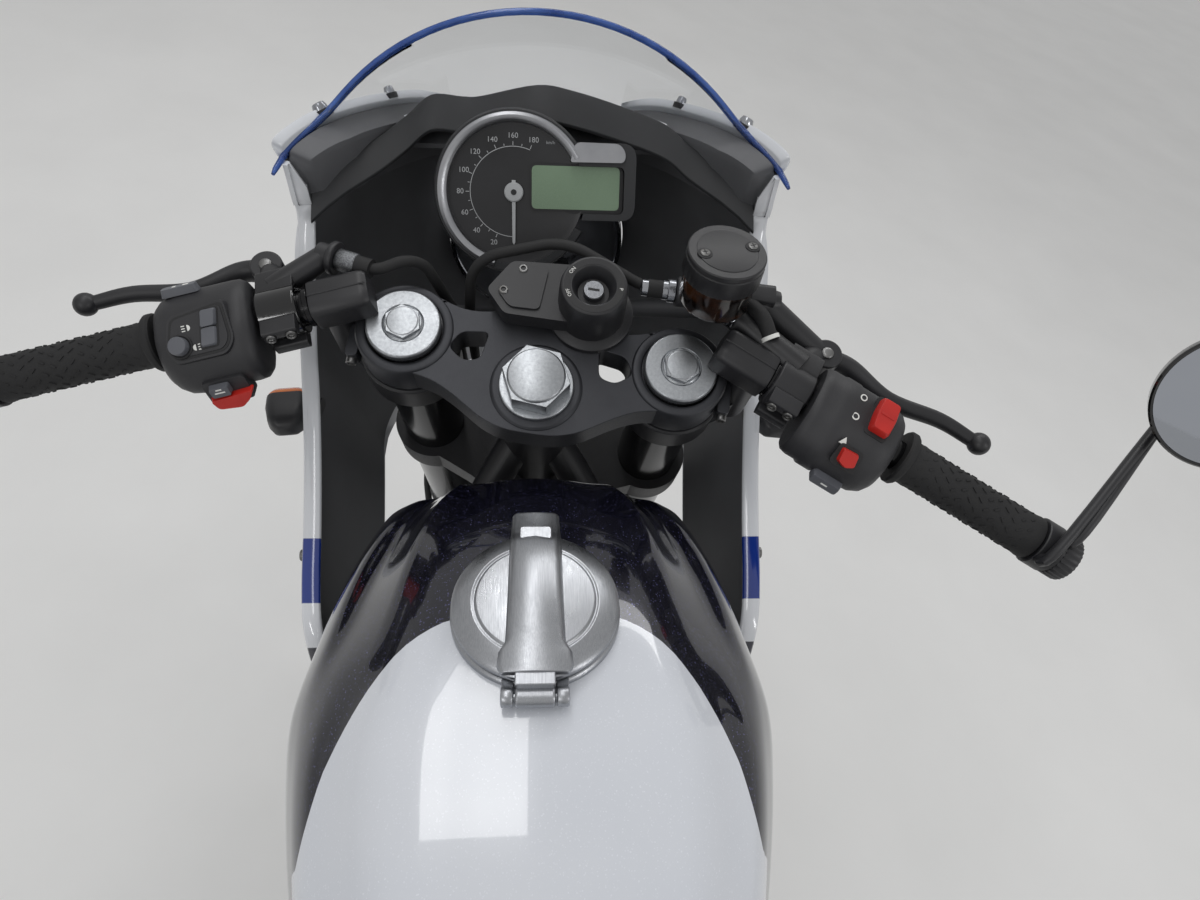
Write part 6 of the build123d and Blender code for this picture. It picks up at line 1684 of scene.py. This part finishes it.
# Calipers: bridges, piston caps and bolts
CALIPER_TURN = radians(47)
CALIPER = facing((FORK_OFFSET - 98, 103.4, -FORK_LENGTH + 92), (0, 1, 0), (cos(CALIPER_TURN), 0, sin(CALIPER_TURN)))
front_stop = fork_piece("front_brake_parts", "caliper_black", satin_black, dull_steel, bright_steel)
front_stop.at = CALIPER
front_stop.prism(rounded(rectangle(64, 40), 10, 4), -2, 6, 0.08)
front_stop.paint = 1
for x, y in ((-20, 0), (20, 0)):
    bolt(front_stop, moved(x, y, 6), 9, 3, False)
front_stop.paint = 2
for x, y in ((-38, 12), (38, -12)):
    bolt(front_stop, moved(x, y, 0), 6, 6)
front_stop.done(bevel=0.6, smooth=38)
axle_nuts = Piece("front_axle_nut", FRONT, "steering", "axle_steel", dull_steel)
for side in SIDES:
    axle_nuts.at = side_place(0, 0, side * 135.6)
    axle_nuts.lathe([(8.6, 0), (13, 0), (13.6, 0.8), (13.6, 1.4), (8.6, 1.4)], 40, True)
axle_nuts.done(smooth=36)
adjusters = bike_piece("rear_axle_blocks", "axle_steel", satin_alloy, dull_steel)
for side in SIDES:
    adjusters.now(0, side_place(0, 306, side * 129.2))
    adjusters.prism(rounded(rectangle(58, 34), 5, 4), 0, 4.6, 0.03)
    adjusters.now(1, side_place(0, 306, side * 133.4))
    adjusters.lathe([(9, 0), (18, 0), (18, 2), (9, 2)], 48, True)
    adjusters.at = facing((-46, side * 117, 306), (-1, 0, 0), (0, 1, 0))
    adjusters.lathe([(0, 0), (4, 0), (4, 14), (3, 15), (0, 15)], 20)
    adjusters.prism(hexagon(7), 4, 10)
adjusters.done(bevel=0.4, smooth=38)

# Headlamp bulb and its shade
bulb = bike_piece("headlamp_bulb", "lamp_bowl", reflector, lamp_glass)
bulb.at = facing((1313, 0, 868), (1, 0, 0), (0, 1, 0))
bulb.lathe([(0, 0), (16, 0), (14, 4), (8, 6), (8, 12), (0, 12)], 32)
bulb.lathe(
    [(8, 32), (12, 30), (13.6, 34), (13.6, 44), (11, 49), (0, 51), (0, 49.6), (10, 47.4), (12.2, 43), (12.2, 34)], 40
)
for turn in (0, 2.1, 4.2):
    bulb.tube([around(14, turn, 3), around(12.8, turn, 36)], 1.1, 8)
bulb.paint = 1
bulb.lathe([(0, 10), (6, 12), (6.6, 18), (6, 30), (3, 35), (0, 36)], 28)
bulb.done(smooth=50)


# Floor and lamps
floor_paint = plain("floor", (240, 240, 239), (235, 235, 234), 0.5, 0.62, 3, 60, 0.0002)
floor_mesh = bpy.data.meshes.new("floor")
FLOOR = 14.0
corners = [(-FLOOR, -FLOOR, 0), (FLOOR, -FLOOR, 0), (FLOOR, FLOOR, 0), (-FLOOR, FLOOR, 0)]
floor_mesh.from_pydata(corners, [], [(0, 1, 2, 3)])
floor_mesh.materials.append(floor_paint)
floor = bpy.data.objects.new("floor", floor_mesh)
bpy.context.scene.collection.objects.link(floor)

world = bpy.data.worlds.new("studio")
bpy.context.scene.world = world
world.use_nodes = True
sky = world.node_tree.nodes["Background"]
sky.inputs["Color"].default_value = (1.0, 1.0, 1.0, 1.0)
sky.inputs["Strength"].default_value = 0.5


def softbox(name, spot, target, wide, high, power):
    """A rectangular lamp that faces a point."""
    lamp = bpy.data.lights.new(name, "AREA")
    lamp.shape, lamp.size, lamp.size_y, lamp.energy = "RECTANGLE", wide, high, power
    thing = bpy.data.objects.new(name, lamp)
    bpy.context.scene.collection.objects.link(thing)
    thing.matrix_world = facing(spot, Vector(spot) - Vector(target))


softbox("overhead", (0.5, 0.7, 3.2), (0.1, 0, 0.7), 2.6, 0.42, 14)
softbox("overhead_front", (1.9, -0.4, 2.8), (0.2, 0, 0.7), 0.38, 2.4, 12)
softbox("rear_left", (-2.4, 1.8, 2.4), (0, 0, 0.6), 1.6, 0.3, 12)
softbox("rear_right", (-1.6, -2.2, 2.2), (0, 0, 0.6), 0.3, 1.4, 10)

# The camera stands where the photograph was taken from, over the rider's seat
EYE = Vector((608.6, 0.1, 1360.6))
PITCH, YAW, ROLL = radians(47.21), radians(-6.49), radians(4.97)
IMAGE_WIDTH = 1200
FOCAL_PIXELS = 833.0
SENSOR = 36.0
look = Vector((cos(PITCH) * cos(YAW), cos(PITCH) * sin(YAW), -sin(PITCH)))
flat_right = look.cross(Vector((0, 0, 1))).normalized()
flat_up = flat_right.cross(look)
seen_right = flat_right * cos(ROLL) + flat_up * sin(ROLL)
seen_up = flat_up * cos(ROLL) - flat_right * sin(ROLL)
axes = Matrix((bike_ahead, bike_left, bike_up)).transposed()
seen = bpy.data.cameras.new("camera")
seen.sensor_width = SENSOR
seen.lens = SENSOR * FOCAL_PIXELS / IMAGE_WIDTH
seen.clip_start = 0.01
camera = bpy.data.objects.new("camera", seen)
bpy.context.scene.collection.objects.link(camera)
turn = axes @ Matrix((seen_right, seen_up, -look)).transposed()
camera.matrix_world = Matrix.Translation(BIKE @ EYE) @ turn.to_4x4()
bpy.context.scene.camera = camera
bpy.context.scene.view_settings.view_transform = "Standard"
